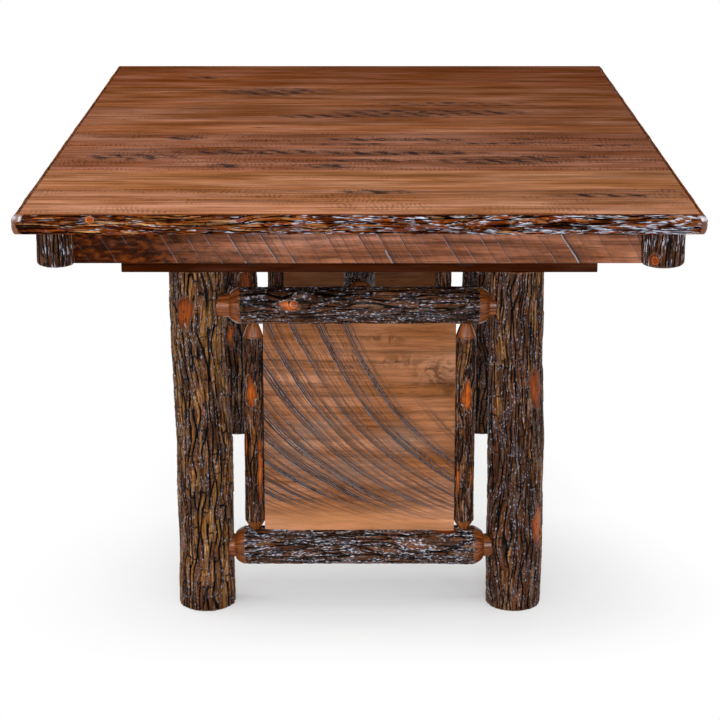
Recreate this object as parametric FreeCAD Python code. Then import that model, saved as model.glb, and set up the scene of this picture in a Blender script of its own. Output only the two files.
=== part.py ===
import FreeCAD, Part
import os
from FreeCAD import Vector

# Rustic hickory trestle table whose sawn top parts in the middle and slides open along its length.
# Two log trestles joined by a log stretcher stay on the floor. The near and the far half of the top
# each hang on wooden slides with dovetail tongues.
# Lengths are in millimetres. X runs across the table, Y along it, with the near end at minus Y, and
# Z up. The origin lies on the floor under the middle of the closed table.

# Top
table_height = 762.0
board_field_width = 1067.0
board_field_length = 1524.0
board_thickness = 31.75
parting_gap = 0.4
glue_line = 0.1
near_board_width_shares = (0.152, 0.100, 0.198, 0.290, 0.190, 0.070)
far_board_width_shares = (0.34, 0.30, 0.36)

# Half-round bark edging round the top
edging_depth = 12.5
edging_lip = 5.0
edging_corner_radius = 17.0

# Flat wooden alignment keys in the parting line
key_width = 58.0
key_thickness = 8.0
key_length = 44.0
key_clearance = 0.35
key_place_shares = (-0.36, 0.0, 0.36)

# Apron and the log stubs at its corners
apron_height = 60.0
apron_thickness = 20.0
apron_tenon_length = 12.0
corner_inset = 62.5
stub_diameter = 66.0
stub_drop = 2.0
near_stub_size_shares = (0.93, 1.07)
far_stub_size_shares = (1.02, 0.97)

# Cleats on top of the trestles
cleat_length = 800.0
cleat_width = 90.0
cleat_thickness = 45.0
cleat_bevel = 3.0
trestle_spacing = 984.0

# Extension slides
slide_height = 73.0
slide_gap = 1.25
fixed_slide_thickness = 32.0
moving_slide_thickness = 25.0
slide_spacing = 400.0
slide_clearance = 0.35
slide_tail = 330.0
slide_tail_relief = 0.5
slide_end_margin = 12.0
tongue_depth = 9.0
tongue_neck = 14.0
tongue_flare = 20.0

# Legs. Each is thicker below its bend and thinner above it. The bend's ends are shares of the height to
# the cleats. Each leg's middle lies off its place by a share of the lower diameter, across and along the
# table, first below and then above the bend.
leg_spacing = 544.0
leg_lower_diameter = 98.0
leg_upper_diameter = 90.0
leg_bend_height_shares = (0.49, 0.77)
leg_tenon_diameter = 38.0
leg_tenon_length = 36.0
leg_offset_shares = {
    "near_left": ((0.04, 0.0), (-0.07, 0.01)),
    "near_right": ((-0.01, 0.01), (-0.03, 0.0)),
    "far_left": ((0.03, -0.01), (-0.02, 0.01)),
    "far_right": ((-0.02, 0.01), (0.01, -0.01)),
}

# Rails of the trestles. They stand a little towards the table's end from the legs' centres, and the bark
# of each log stops at the turned shoulders of its tenons. The top rail's middle lies below the cleats.
rail_outset = 6.0
rail_bark_setback = 22.0
rail_shoulder_length = 16.0
rail_tenon_diameter = 40.0
top_rail_drop = 67.0
top_rail_diameter = 63.0
bottom_rail_height = 109.0
bottom_rail_diameter = 67.0

# Upright spindles between the rails
spindle_spacing = 364.0
spindle_diameter = 33.5
spindle_upper_shoulder = 22.0
spindle_lower_shoulder = 13.0
spindle_tenon_diameter = 16.0
spindle_tenon_length = 18.0

# Panel between the spindles
panel_thickness = 19.0
panel_edge_gap = 0.3
panel_groove_depth = 10.0
groove_clearance = 0.2

# Stretcher between the top rails
stretcher_diameter = 58.0
stretcher_bark_setback = 20.0
stretcher_shoulder_length = 15.0
stretcher_tenon_diameter = 32.0

# Fits and cutting
joint_clearance = 0.15
overrun = 5.0

# Places worked out from the sizes above
half_width = board_field_width / 2
half_length = board_field_length / 2
top_underside = table_height - board_thickness
slide_underside = top_underside - slide_height
cleat_top = slide_underside - slide_gap
cleat_underside = cleat_top - cleat_thickness
leg_bend_bottom = cleat_underside * leg_bend_height_shares[0]
leg_bend_top = cleat_underside * leg_bend_height_shares[1]
top_rail_height = cleat_underside - top_rail_drop
corner_x = half_width + edging_depth - corner_inset
corner_y = half_length + edging_depth - corner_inset
apron_underside = top_underside - apron_height
rail_y = trestle_spacing / 2 + rail_outset
tongue_middle = slide_underside + slide_height / 2
along_x = Vector(1, 0, 0)
along_y = Vector(0, 1, 0)
up = Vector(0, 0, 1)
ends = (("near", -1), ("far", 1))
sides = (("left", -1), ("right", 1))
full_turn = 360


def box_between(low, high):
    """A box from its lowest corner to its highest."""
    size = high - low
    return Part.makeBox(size.x, size.y, size.z, low)


def prism(points, run):
    """The closed outline through the points, extruded by the vector run."""
    outline = Part.makePolygon(points + [points[0]])
    return Part.Face(outline).extrude(run)


def spread(first, last):
    """The two values in rising order, so that mirrored pieces can share one box call."""
    return min(first, last), max(first, last)


def round_bore(start, direction, depth, radius):
    """A cylinder from the start point along a direction."""
    return Part.makeCylinder(radius, depth, start, direction)


def turned_log(origin, direction, bark, shoulders, reach, diameter, tenon_diameter):
    """A log turned at both ends: a tenon, a shoulder, the bark, a shoulder and a tenon.

    bark and reach are the distances along the direction where the bark and the tenons end.
    """
    side = along_y if direction.x else along_x
    tenon = side * (tenon_diameter / 2)
    log = side * (diameter / 2)
    profile = [
        direction * reach[0],
        direction * reach[0] + tenon,
        direction * (bark[0] - shoulders[0]) + tenon,
        direction * bark[0] + log,
        direction * bark[1] + log,
        direction * (bark[1] + shoulders[1]) + tenon,
        direction * reach[1] + tenon,
        direction * reach[1],
    ]
    outline = [origin + point for point in profile]
    return Part.Face(Part.makePolygon(outline + [outline[0]])).revolve(origin, direction, full_turn)


def tenon_sockets(origin, direction, roots, reach, tenon_diameter):
    """The two bores that take a log's tenons, from the roots of its shoulders to past its tips."""
    radius = tenon_diameter / 2 + joint_clearance
    bores = []
    for root, tip in zip(roots, (reach[0] - joint_clearance, reach[1] + joint_clearance)):
        low, high = spread(root, tip)
        bores.append(round_bore(origin + direction * low, direction, high - low, radius))
    return bores[0].fuse(bores[1])


def leg_middle(corner, end, side, part):
    """The middle of a leg on the floor, for the part of it below the bend or the part above it."""
    across, along = leg_offset_shares[corner][part]
    return Vector(side * leg_spacing / 2 + across * leg_lower_diameter,
                  end * trestle_spacing / 2 + along * leg_lower_diameter, 0)


def rail_bark_end(leg_diameter):
    """How far a rail's bark reaches from the rail's middle, between legs of one diameter."""
    return (leg_spacing - leg_diameter) / 2 - rail_bark_setback


def make_rail(end, height, diameter, leg_diameter):
    """One rail of a trestle, before the panel and the spindles are let into it."""
    bark_end = rail_bark_end(leg_diameter)
    shoulders = (rail_shoulder_length, rail_shoulder_length)
    return turned_log(Vector(0, end * rail_y, height), along_x, (-bark_end, bark_end), shoulders,
                      (-leg_spacing / 2, leg_spacing / 2), diameter, rail_tenon_diameter)


def rail_sockets(end, height, leg_diameter):
    """The bores in the legs for the tenons of the rail at one height."""
    root = rail_bark_end(leg_diameter) + rail_shoulder_length
    return tenon_sockets(Vector(0, end * rail_y, height), along_x, (-root, root),
                         (-leg_spacing / 2, leg_spacing / 2), rail_tenon_diameter)


def spindle_run():
    """The heights of the two rail faces that the spindles stand between, and of their tenons' tips."""
    low_face = bottom_rail_height + bottom_rail_diameter / 2
    high_face = top_rail_height - top_rail_diameter / 2
    return (low_face, high_face), (low_face - spindle_tenon_length, high_face + spindle_tenon_length)


def make_spindle(end, side):
    """One upright spindle with long cone shoulders."""
    faces, reach = spindle_run()
    shoulders = (spindle_lower_shoulder, spindle_upper_shoulder)
    bark = (faces[0] + spindle_lower_shoulder, faces[1] - spindle_upper_shoulder)
    return turned_log(Vector(side * spindle_spacing / 2, end * rail_y, 0), up, bark, shoulders, reach,
                      spindle_diameter, spindle_tenon_diameter)


def spindle_sockets(end, side):
    """The bores in the two rails for one spindle's tenons."""
    faces, reach = spindle_run()
    return tenon_sockets(Vector(side * spindle_spacing / 2, end * rail_y, 0), up, faces, reach,
                         spindle_tenon_diameter)


def stretcher_bark_end():
    """How far the stretcher's bark reaches from its middle."""
    return rail_y - top_rail_diameter / 2 - stretcher_bark_setback


def make_stretcher():
    """The log between the two top rails."""
    bark_end = stretcher_bark_end()
    shoulders = (stretcher_shoulder_length, stretcher_shoulder_length)
    return turned_log(Vector(0, 0, top_rail_height), along_y, (-bark_end, bark_end), shoulders,
                      (-rail_y, rail_y), stretcher_diameter, stretcher_tenon_diameter)


def stretcher_sockets():
    """The bores in the top rails for the stretcher's tenons."""
    root = stretcher_bark_end() + stretcher_shoulder_length
    return tenon_sockets(Vector(0, 0, top_rail_height), along_y, (-root, root), (-rail_y, rail_y),
                         stretcher_tenon_diameter)


def panel(end, grow=0):
    """The sawn panel of one trestle, or the grooves that take its top and bottom edges."""
    edge_x = spindle_spacing / 2 - spindle_diameter / 2 - panel_edge_gap
    low = bottom_rail_height + bottom_rail_diameter / 2 - panel_groove_depth
    high = top_rail_height - top_rail_diameter / 2 + panel_groove_depth
    half_thickness = panel_thickness / 2 + grow
    return box_between(Vector(-edge_x - grow, end * rail_y - half_thickness, low - grow),
                       Vector(edge_x + grow, end * rail_y + half_thickness, high + grow))


def cleat_outline(y_middle):
    """The cleat's section at its left end, with the two lower edges bevelled."""
    x_end = -cleat_length / 2
    front = y_middle - cleat_width / 2
    back = y_middle + cleat_width / 2
    return [
        Vector(x_end, front, cleat_top),
        Vector(x_end, front, cleat_underside + cleat_bevel),
        Vector(x_end, front + cleat_bevel, cleat_underside),
        Vector(x_end, back - cleat_bevel, cleat_underside),
        Vector(x_end, back, cleat_underside + cleat_bevel),
        Vector(x_end, back, cleat_top),
    ]


def make_cleat(end_name, end):
    """The sawn cleat on top of one trestle, bored for the leg tenons."""
    cleat = prism(cleat_outline(end * trestle_spacing / 2), along_x * cleat_length)
    for side_name, side in sides:
        foot = leg_middle(end_name + "_" + side_name, end, side, 1) + up * (cleat_underside - overrun)
        depth = leg_tenon_length + joint_clearance + overrun
        cleat = cleat.cut(round_bore(foot, up, depth, leg_tenon_diameter / 2 + joint_clearance))
    return cleat


def make_leg(corner, end, side):
    """One thick log leg with its bend, a tenon for the cleat and mortises for the two rails."""
    lower = leg_middle(corner, end, side, 0)
    upper = leg_middle(corner, end, side, 1)
    bend_low = lower + up * leg_bend_bottom
    bend_high = upper + up * leg_bend_top
    ring_low = Part.Wire(Part.Circle(bend_low, up, leg_lower_diameter / 2).toShape())
    ring_high = Part.Wire(Part.Circle(bend_high, up, leg_upper_diameter / 2).toShape())
    leg = round_bore(lower, up, leg_bend_bottom, leg_lower_diameter / 2).fuse([
        Part.makeLoft([ring_low, ring_high], True, True),
        round_bore(bend_high, up, cleat_underside - leg_bend_top, leg_upper_diameter / 2),
        round_bore(bend_high, up, cleat_underside + leg_tenon_length - leg_bend_top, leg_tenon_diameter / 2),
    ]).removeSplitter()
    leg = leg.cut(rail_sockets(end, top_rail_height, leg_upper_diameter))
    return leg.cut(rail_sockets(end, bottom_rail_height, leg_lower_diameter))


def make_trestle(end_name, end):
    """Every piece of one trestle, by name."""
    pieces = {end_name + "_cleat": make_cleat(end_name, end)}
    upper = make_rail(end, top_rail_height, top_rail_diameter, leg_upper_diameter)
    lower = make_rail(end, bottom_rail_height, bottom_rail_diameter, leg_lower_diameter)
    upper = upper.cut(stretcher_sockets()).cut(panel(end, groove_clearance))
    lower = lower.cut(panel(end, groove_clearance))
    spindles = []
    for side_name, side in sides:
        corner = end_name + "_" + side_name
        pieces[corner + "_leg"] = make_leg(corner, end, side)
        spindles.append(make_spindle(end, side))
        upper = upper.cut(spindle_sockets(end, side))
        lower = lower.cut(spindle_sockets(end, side))
    pieces[end_name + "_top_rail"] = upper
    pieces[end_name + "_bottom_rail"] = lower
    pieces[end_name + "_spindles"] = Part.makeCompound(spindles)
    pieces[end_name + "_panel"] = panel(end)
    return pieces


def tongue_outline(face_x, out, grow):
    """The dovetail section that stands out of a slide's face, from its lower to its upper root."""
    neck = tongue_neck / 2 + grow
    flare = tongue_flare / 2 + grow
    tip_x = face_x + out * (tongue_depth + grow)
    return [
        Vector(face_x, 0, tongue_middle - neck),
        Vector(tip_x, 0, tongue_middle - flare),
        Vector(tip_x, 0, tongue_middle + flare),
        Vector(face_x, 0, tongue_middle + neck),
    ]


def make_fixed_slide(side):
    """The slide that stays on the cleats, with a dovetail groove in each of its faces."""
    length = trestle_spacing + cleat_width
    middle_x = side * slide_spacing / 2
    half_thickness = fixed_slide_thickness / 2
    slide = box_between(Vector(middle_x - half_thickness, -length / 2, cleat_top),
                        Vector(middle_x + half_thickness, length / 2, cleat_top + slide_height))
    for out in (-1, 1):
        face_x = middle_x + out * half_thickness
        groove = prism(tongue_outline(face_x, -out, slide_clearance), along_y * (length + 2 * overrun))
        groove.translate(along_y * (-length / 2 - overrun))
        slide = slide.cut(groove)
    return slide


def moving_slide_faces(end, side):
    """The two faces of a moving slide in X: the one towards the fixed slide, then the outer one.

    The near half's slides lie inside the fixed slides and the far half's slides outside them.
    """
    away = side * (-1 if end < 0 else 1)
    face_x = side * slide_spacing / 2 + away * (fixed_slide_thickness / 2 + slide_clearance)
    return face_x, face_x + away * moving_slide_thickness, away


def make_moving_slide(end, side):
    """A slide under one half, whose tail runs on under the other half with a little relief above it."""
    face_x, back_x, away = moving_slide_faces(end, side)
    outer_end = corner_y - apron_thickness - slide_end_margin
    length = outer_end + slide_tail
    outline = tongue_outline(face_x, -away, 0) + [
        Vector(face_x, 0, top_underside),
        Vector(back_x, 0, top_underside),
        Vector(back_x, 0, slide_underside),
        Vector(face_x, 0, slide_underside),
    ]
    slide = prism(outline, along_y * length)
    slide.translate(along_y * min(end * outer_end, -end * slide_tail))
    low_x, high_x = spread(face_x, back_x)
    low_y, high_y = spread(0, -end * (slide_tail + overrun))
    relief = box_between(Vector(low_x - overrun, low_y, top_underside - slide_tail_relief),
                         Vector(high_x + overrun, high_y, top_underside + overrun))
    return slide.cut(relief)


def apron_tenon_end(corner_place):
    """How far an apron reaches towards a corner: its end is housed in the log stub."""
    return corner_place - stub_diameter / 2 + apron_tenon_length


def make_end_apron(end, grow=0):
    """The apron across one end, or the mortises that take its ends."""
    reach = apron_tenon_end(corner_x) + grow
    low_y, high_y = spread(end * (corner_y + grow), end * (corner_y - apron_thickness - grow))
    return box_between(Vector(-reach, low_y, apron_underside - grow),
                       Vector(reach, high_y, top_underside))


def make_side_apron(end, side, grow=0):
    """The apron along one side of a half, or the mortise that takes its end."""
    low_x, high_x = spread(side * (corner_x + grow), side * (corner_x - apron_thickness - grow))
    low_y, high_y = spread(end * parting_gap / 2, end * (apron_tenon_end(corner_y) + grow))
    return box_between(Vector(low_x, low_y, apron_underside - grow), Vector(high_x, high_y, top_underside))


def make_corner_stub(end, side, size_share):
    """The short log under one corner, with housings for the two aprons."""
    radius = stub_diameter * size_share / 2
    foot = Vector(side * corner_x, end * corner_y, apron_underside - stub_drop)
    stub = round_bore(foot, up, apron_height + stub_drop, radius)
    return stub.cut(make_end_apron(end, joint_clearance)).cut(make_side_apron(end, side, joint_clearance))


def key_middles():
    """The middles of the alignment keys, in the parting line and half way down the boards."""
    height = table_height - board_thickness / 2
    return [Vector(board_field_width * share, 0, height) for share in key_place_shares]


def make_keys():
    """The flat alignment keys, glued into the near half and free in the far half."""
    half = Vector(key_width, key_length, key_thickness) * 0.5
    return Part.makeCompound([box_between(middle - half, middle + half) for middle in key_middles()])


def cut_key_slots(board, end):
    """The board beside the parting line with its key slots."""
    clearance = joint_clearance if end < 0 else key_clearance
    spare = Vector(clearance, clearance, clearance)
    half = Vector(key_width, key_length, key_thickness) * 0.5 + spare
    for middle in key_middles():
        board = board.cut(box_between(middle - half, middle + half))
    return board


def make_boards(end_name, end, shares):
    """The boards of one half, numbered away from the near end. Each one takes its share of the half."""
    span = half_length - parting_gap / 2
    place = -half_length if end < 0 else parting_gap / 2
    boards = {}
    for number, share in enumerate(shares, start=1):
        board = box_between(Vector(-half_width + glue_line, place + glue_line / 2, top_underside),
                            Vector(half_width - glue_line, place + span * share - glue_line / 2,
                                   table_height))
        beside_parting = number == (len(shares) if end < 0 else 1)
        if beside_parting:
            board = cut_key_slots(board, end)
        boards[end_name + "_board_" + str(number)] = board
        place = place + span * share
    return boards


def edging_bar(start, out, run):
    """A half-round bar whose flat back stands on the board edge from the start point along run."""
    drop = up * board_thickness
    back_top = start
    lip_top = start + out * edging_lip
    belly = start + out * edging_depth - drop * 0.5
    lip_low = lip_top - drop
    back_low = start - drop
    outline = [
        Part.makeLine(back_top, lip_top),
        Part.Arc(lip_top, belly, lip_low).toShape(),
        Part.makeLine(lip_low, back_low),
        Part.makeLine(back_low, back_top),
    ]
    return Part.Face(Part.Wire(outline)).extrude(run)


def corner_block():
    """The whole top's outline with its rounded corners, which trims the edging."""
    x = half_width + edging_depth
    y = half_length + edging_depth
    block = box_between(Vector(-x, -y, top_underside), Vector(x, y, table_height))
    upright = [edge for edge in block.Edges if edge.BoundBox.ZLength > edge.BoundBox.DiagonalLength / 2]
    return block.makeFillet(edging_corner_radius, upright)


def plan_block(points):
    """A block over a plan outline, as high as the top."""
    lifted = [Vector(x, y, top_underside) for x, y in points]
    return prism(lifted, up * board_thickness)


def make_end_edging(end, trim):
    """The bark strip across one end, mitred at both corners."""
    out = along_y * end
    past = edging_depth + overrun
    start = Vector(-half_width - past, end * half_length, table_height)
    bar = edging_bar(start, out, along_x * (board_field_width + 2 * past))
    plan = plan_block([
        (-half_width, end * half_length),
        (half_width, end * half_length),
        (half_width + past, end * (half_length + past)),
        (-half_width - past, end * (half_length + past)),
    ])
    return bar.common(plan).common(trim)


def make_side_edging(end, side, trim):
    """The bark strip along one side of a half, mitred at the corner and square at the parting line."""
    out = along_x * side
    past = edging_depth + overrun
    start = Vector(side * half_width, end * parting_gap / 2, table_height)
    bar = edging_bar(start, out, along_y * (end * (half_length + past)))
    plan = plan_block([
        (side * half_width, end * parting_gap / 2),
        (side * (half_width + past), end * parting_gap / 2),
        (side * (half_width + past), end * (half_length + past - glue_line)),
        (side * half_width, end * (half_length - glue_line)),
    ])
    return bar.common(plan).common(trim)


def make_half_top(end_name, end, board_shares, stub_shares):
    """Every piece of one half of the top, by name."""
    trim = corner_block()
    pieces = make_boards(end_name, end, board_shares)
    pieces[end_name + "_end_edging"] = make_end_edging(end, trim)
    pieces[end_name + "_end_apron"] = make_end_apron(end)
    stubs = []
    for (side_name, side), stub_share in zip(sides, stub_shares):
        corner = end_name + "_" + side_name
        pieces[corner + "_edging"] = make_side_edging(end, side, trim)
        pieces[corner + "_apron"] = make_side_apron(end, side)
        stubs.append(make_corner_stub(end, side, stub_share))
        pieces[corner + "_slide"] = make_moving_slide(end, side)
    pieces[end_name + "_corner_stubs"] = Part.makeCompound(stubs)
    return pieces


def make_base():
    """The trestles, the stretcher and the fixed slides, by name."""
    pieces = {}
    for end_name, end in ends:
        pieces.update(make_trestle(end_name, end))
    pieces["stretcher"] = make_stretcher()
    for side_name, side in sides:
        pieces[side_name + "_fixed_slide"] = make_fixed_slide(side)
    return pieces


def make_table():
    """Every piece of the table, by node name."""
    pieces = make_base()
    pieces.update(make_half_top("near", -1, near_board_width_shares, near_stub_size_shares))
    pieces.update(make_half_top("far", 1, far_board_width_shares, far_stub_size_shares))
    pieces["alignment_keys"] = make_keys()
    return pieces


os.makedirs("parts", exist_ok=True)
for name, shape in make_table().items():
    shape.exportStep("parts/" + name + ".step")
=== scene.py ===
import functools
import itertools
import math

import bpy
import numpy as np
from bpy.props import FloatProperty, FloatVectorProperty, PointerProperty
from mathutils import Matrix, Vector


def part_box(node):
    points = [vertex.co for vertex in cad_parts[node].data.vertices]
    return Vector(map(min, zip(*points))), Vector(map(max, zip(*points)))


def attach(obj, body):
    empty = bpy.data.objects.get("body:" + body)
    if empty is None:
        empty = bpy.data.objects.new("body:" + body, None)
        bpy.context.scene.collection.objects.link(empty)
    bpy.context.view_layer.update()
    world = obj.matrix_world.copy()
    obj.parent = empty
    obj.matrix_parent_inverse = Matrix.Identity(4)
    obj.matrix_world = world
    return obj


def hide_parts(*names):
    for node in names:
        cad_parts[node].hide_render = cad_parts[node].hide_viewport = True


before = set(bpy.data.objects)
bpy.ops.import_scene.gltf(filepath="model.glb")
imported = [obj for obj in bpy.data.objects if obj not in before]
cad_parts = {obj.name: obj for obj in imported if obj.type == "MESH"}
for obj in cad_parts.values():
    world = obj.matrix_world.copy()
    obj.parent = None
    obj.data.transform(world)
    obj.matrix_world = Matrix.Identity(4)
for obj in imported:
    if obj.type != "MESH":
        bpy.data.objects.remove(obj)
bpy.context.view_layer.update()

bl_info = {
    "name": "Rustic Hickory Table",
    "version": (1, 0, 0),
    "blender": (4, 5, 0),
    "location": "View3D > Sidebar > Hickory Table",
    "description": "Dresses the extending hickory table with bark, sawn boards and lacquered joints",
    "category": "Object",
}

# One millimetre in the frame's metres
MM = 0.001
# The two ends along Y and the two sides along X, each with its sign
ENDS = {"near": -1, "far": 1}
SIDES = {"left": -1, "right": 1}

# For a log along X, Y or Z: the direction at angle 0 and the one at 90 degrees. Angle 0 looks out of the
# near end on upright and cross logs, and down on the stretcher.
SIDE_VECTORS = {
    0: (Vector((0, -1, 0)), Vector((0, 0, -1))),
    1: (Vector((0, 0, -1)), Vector((-1, 0, 0))),
    2: (Vector((0, -1, 0)), Vector((1, 0, 0))),
}

# Places on a log where the bark is off, as (millimetres from the log's start, degrees round it, half
# length and half width in millimetres, kind). A knot also shows its rings, and the kinds differ in how
# bright their orange is.
TONES = {"dark": 0.0, "bare": 0.4, "knot": 0.55, "vivid": 1.0}
LEG_PATCHES = {
    "near_left": ((540, -24, 32, 24, "bare"), (120, -62, 16, 8, "bare"), (455, 118, 40, 14, "bare")),
    "near_right": ((406, 42, 48, 19, "bare"), (154, 56, 44, 15, "vivid"), (330, -140, 34, 12, "knot")),
    "far_left": ((340, 37, 46, 22, "bare"), (360, 35, 14, 12, "knot"), (226, -12, 32, 9, "vivid"),
                 (455, 165, 38, 13, "bare")),
    "far_right": ((260, 170, 40, 15, "bare"), (480, -30, 26, 10, "bare"), (120, 140, 18, 14, "knot")),
}
TOP_RAIL_PATCHES = {
    "near": ((-118, -14, 21, 10, "vivid"), (-111, -17, 11, 9, "knot"), (130, 78, 30, 8, "bare")),
    "far": ((90, 150, 26, 10, "bare"), (-60, 175, 12, 10, "knot")),
}
BOTTOM_RAIL_PATCHES = {
    "near": ((150, -70, 22, 6, "bare"), (-30, 60, 26, 7, "bare")),
    "far": ((-120, 160, 24, 9, "bare"), (60, -150, 14, 11, "knot")),
}
SPINDLE_PATCHES = {
    "near_left": ((389, -16, 27, 11, "vivid"), (250, 40, 60, 5, "vivid"), (300, -60, 30, 4, "vivid")),
    "near_right": ((387, 12, 33, 10, "vivid"), (230, -44, 36, 4, "vivid"), (240, 60, 30, 4, "vivid")),
    "far_left": ((330, 160, 26, 7, "bare"),),
    "far_right": ((270, -165, 30, 6, "bare"),),
}
STUB_PATCHES = {
    "near_left": ((12, -40, 8, 6, "bare"),),
    "near_right": ((13, -29, 13, 12, "knot"),),
    "far_left": ((30, 150, 12, 10, "knot"),),
    "far_right": ((20, -160, 9, 12, "bare"),),
}


def hex_colour(code):
    """An sRGB hex code as linear colour values with full alpha."""
    parts = [int(code[i:i + 2], 16) / 255 for i in (1, 3, 5)]
    return [p / 12.92 if p <= 0.04045 else ((p + 0.055) / 1.055) ** 2.4 for p in parts] + [1.0]


def colour_property(name, description, code):
    """A colour setting whose default is a hex code."""
    return FloatVectorProperty(name=name, description=description, subtype="COLOR", size=4, min=0, max=1,
                               default=hex_colour(code))


def length_property(name, description, millimetres):
    """A length setting whose default is in millimetres."""
    return FloatProperty(name=name, description=description, subtype="DISTANCE", unit="LENGTH", min=0,
                         default=millimetres * MM)


class BarkSettings(bpy.types.PropertyGroup):
    """Sizes and colours of the hickory bark and of the bare wood under it."""

    plate_width: length_property("Plate width", "Width of the long bark plates round a leg", 8.5)
    plate_length: length_property("Plate length", "Length of the bark plates along a leg", 76)
    furrow_depth: length_property("Furrow depth", "Depth of the furrows between plates on a leg", 3.2)
    fibre_width: length_property("Fibre width", "Width of the fibres drawn on each plate", 1.5)
    fibre_length: length_property("Fibre length", "Length of the fibres drawn on each plate", 20)
    leg_step: length_property("Mesh step", "Size of the mesh faces on the legs' bark", 1.7)
    # The furrow colour is painted shade at the bottom of the furrows, and also the darkest bark of the
    # rails, spindles, stretcher and stubs and the colour of the pocks
    furrow: colour_property("Furrow", "Shadowed bottom of the furrows", "#070403")
    plate_dark: colour_property("Dark plate", "Stained bark at its darkest", "#2c1a10")
    plate_mid: colour_property("Plate", "Most of the bark", "#5c3c29")
    plate_rust: colour_property("Rust plate", "Inner bark that shows at worn plates", "#74401f")
    plate_pale: colour_property("Pale plate", "Weathered bark", "#9c7a60")
    # Painted highlights: a cold violet gloss painted on smooth plates, and specks painted as glints of the
    # lacquer
    painted_sheen: colour_property("Sheen", "Cold violet gloss on smooth plates", "#565460")
    painted_glint: colour_property("Glare", "Specks of lacquer that catch the light", "#b4bccb")
    tan: colour_property("Golden plate", "Split plates that show golden wood", "#bd8646")
    turned_dark: colour_property("Turned wood, dark", "Growth lines on the turned shoulders", "#2a0e03")
    turned_pale: colour_property("Turned wood, pale", "Turned shoulders of the tenons", "#925026")
    vivid: colour_property("Vivid orange", "Fresh orange wood on the thin logs", "#c4641c")
    debarked_dark: colour_property("Debarked wood, dark", "Rust red where the bark came off", "#2a0d03")
    debarked_pale: colour_property("Debarked wood, pale", "Orange where the bark came off", "#74300a")


class SawnSettings(bpy.types.PropertyGroup):
    """Sizes and colours of the sawn boards, aprons, cleats and panels."""

    streak_length: length_property("Streak length", "Length of the grain streaks", 260)
    streak_width: length_property("Streak width", "Width of the grain streaks", 9)
    pore_length: length_property("Pore length", "Length of the open pores", 22)
    pore_width: length_property("Pore width", "Width of the open pores, as coarse as it needs to show", 1.3)
    bevel: length_property("Edge bevel", "Softened edge of each sawn piece", 0.6)
    stain: colour_property("Saw stain", "Blue-black stain in the saw's deep strokes", "#241f22")
    panel: colour_property("Panel", "Sawn panels of the trestles", "#9a6441")
    # The saw line colour is a painted highlight: lacquered lines drawn as if they caught the light
    painted_saw_glint: colour_property("Saw line", "Lacquered saw lines that catch the light", "#929eac")
    apron: colour_property("Apron", "Rough-sawn aprons", "#8d5b43")
    apron_dark: colour_property("Apron, dark", "Dark heartwood of the near apron", "#331304")
    # The cleat colour is painted shade: nearly black-brown for the shadow under the top
    cleat: colour_property("Cleat", "Cleats on top of the trestles", "#361708")
    # The maple colour is painted shade: dark so that the slides sink into the shadow under the top
    maple: colour_property("Slide maple", "Stained maple of the slides and keys", "#28150b")


class StageSettings(bpy.types.PropertyGroup):
    """The floor and the studio light."""

    floor: colour_property("Floor", "Pale studio floor", "#f4f4f5")
    floor_radius: length_property("Floor radius", "How far the floor reaches", 9000)
    shade_width: length_property("Shade width", "How far beside the legs the floor takes shadows", 420)
    shade_depth: length_property("Shade depth", "How far before the legs the floor takes shadows", 300)
    lens: FloatProperty(name="Lens", description="Camera lens in millimetres", default=109.17, min=1)
    pitch: FloatProperty(name="Pitch", description="How far the camera looks down", subtype="ANGLE",
                         default=math.radians(14.46))
    camera_height: length_property("Camera height", "Height of the camera over the floor", 1502.3)
    camera_distance: length_property("Camera distance", "From the camera to the table's middle", 4096.5)


class TableSettings(bpy.types.PropertyGroup):
    """All the settings of the table."""

    bark: PointerProperty(type=BarkSettings)
    sawn: PointerProperty(type=SawnSettings)
    stage: PointerProperty(type=StageSettings)


def settings():
    """The table's settings in the current scene."""
    return bpy.context.scene.hickory_table


# Small tools for pieces


def deselect_all():
    """Leaves edit mode and selects nothing, because the loaded nodes are selected at first."""
    if bpy.context.object and bpy.context.object.mode != "OBJECT":
        bpy.ops.object.mode_set(mode="OBJECT")
    bpy.ops.object.select_all(action="DESELECT")


def make_active(piece):
    """Makes one piece the active and only selected one."""
    deselect_all()
    bpy.context.view_layer.objects.active = piece
    piece.select_set(True)


def finish_piece(piece, name, body, slot, material, *replaced):
    """Names a piece and gives it its material and body, and hides the nodes that it stands for. Its slot is
    not used.
    """
    piece.name = name
    piece.data.name = name
    piece.data.materials.clear()
    piece.data.materials.append(material)
    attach(piece, body)
    if replaced:
        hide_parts(*replaced)
    return piece


def node_points(node):
    """The corners of a CAD node's mesh as an array, in metres."""
    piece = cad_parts[node]
    flat = np.empty(len(piece.data.vertices) * 3)
    piece.data.vertices.foreach_get("co", flat)
    turn = np.array(piece.matrix_world)
    return flat.reshape(-1, 3) @ turn[:3, :3].T + turn[:3, 3]


def sawn_copy(node, name, body, slot, material, bevel):
    """A copy of a sawn CAD node with its edges softened."""
    deselect_all()
    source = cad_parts[node]
    piece = bpy.data.objects.new(name, source.data.copy())
    bpy.context.collection.objects.link(piece)
    piece.data.transform(source.matrix_world)
    make_active(piece)
    bpy.ops.object.mode_set(mode="EDIT")
    bpy.ops.mesh.select_all(action="SELECT")
    bpy.ops.mesh.remove_doubles(threshold=0.01 * MM)
    bpy.ops.mesh.dissolve_limited(angle_limit=math.radians(1))
    bpy.ops.object.mode_set(mode="OBJECT")
    soften = piece.modifiers.new("soft edges", "BEVEL")
    soften.width = bevel
    soften.segments = 2
    soften.limit_method = "ANGLE"
    soften.angle_limit = math.radians(40)
    bpy.ops.object.modifier_apply(modifier=soften.name)
    bpy.ops.object.shade_smooth_by_angle(angle=math.radians(35))
    return finish_piece(piece, name, body, slot, material, node)


# Repeatable noise


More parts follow.
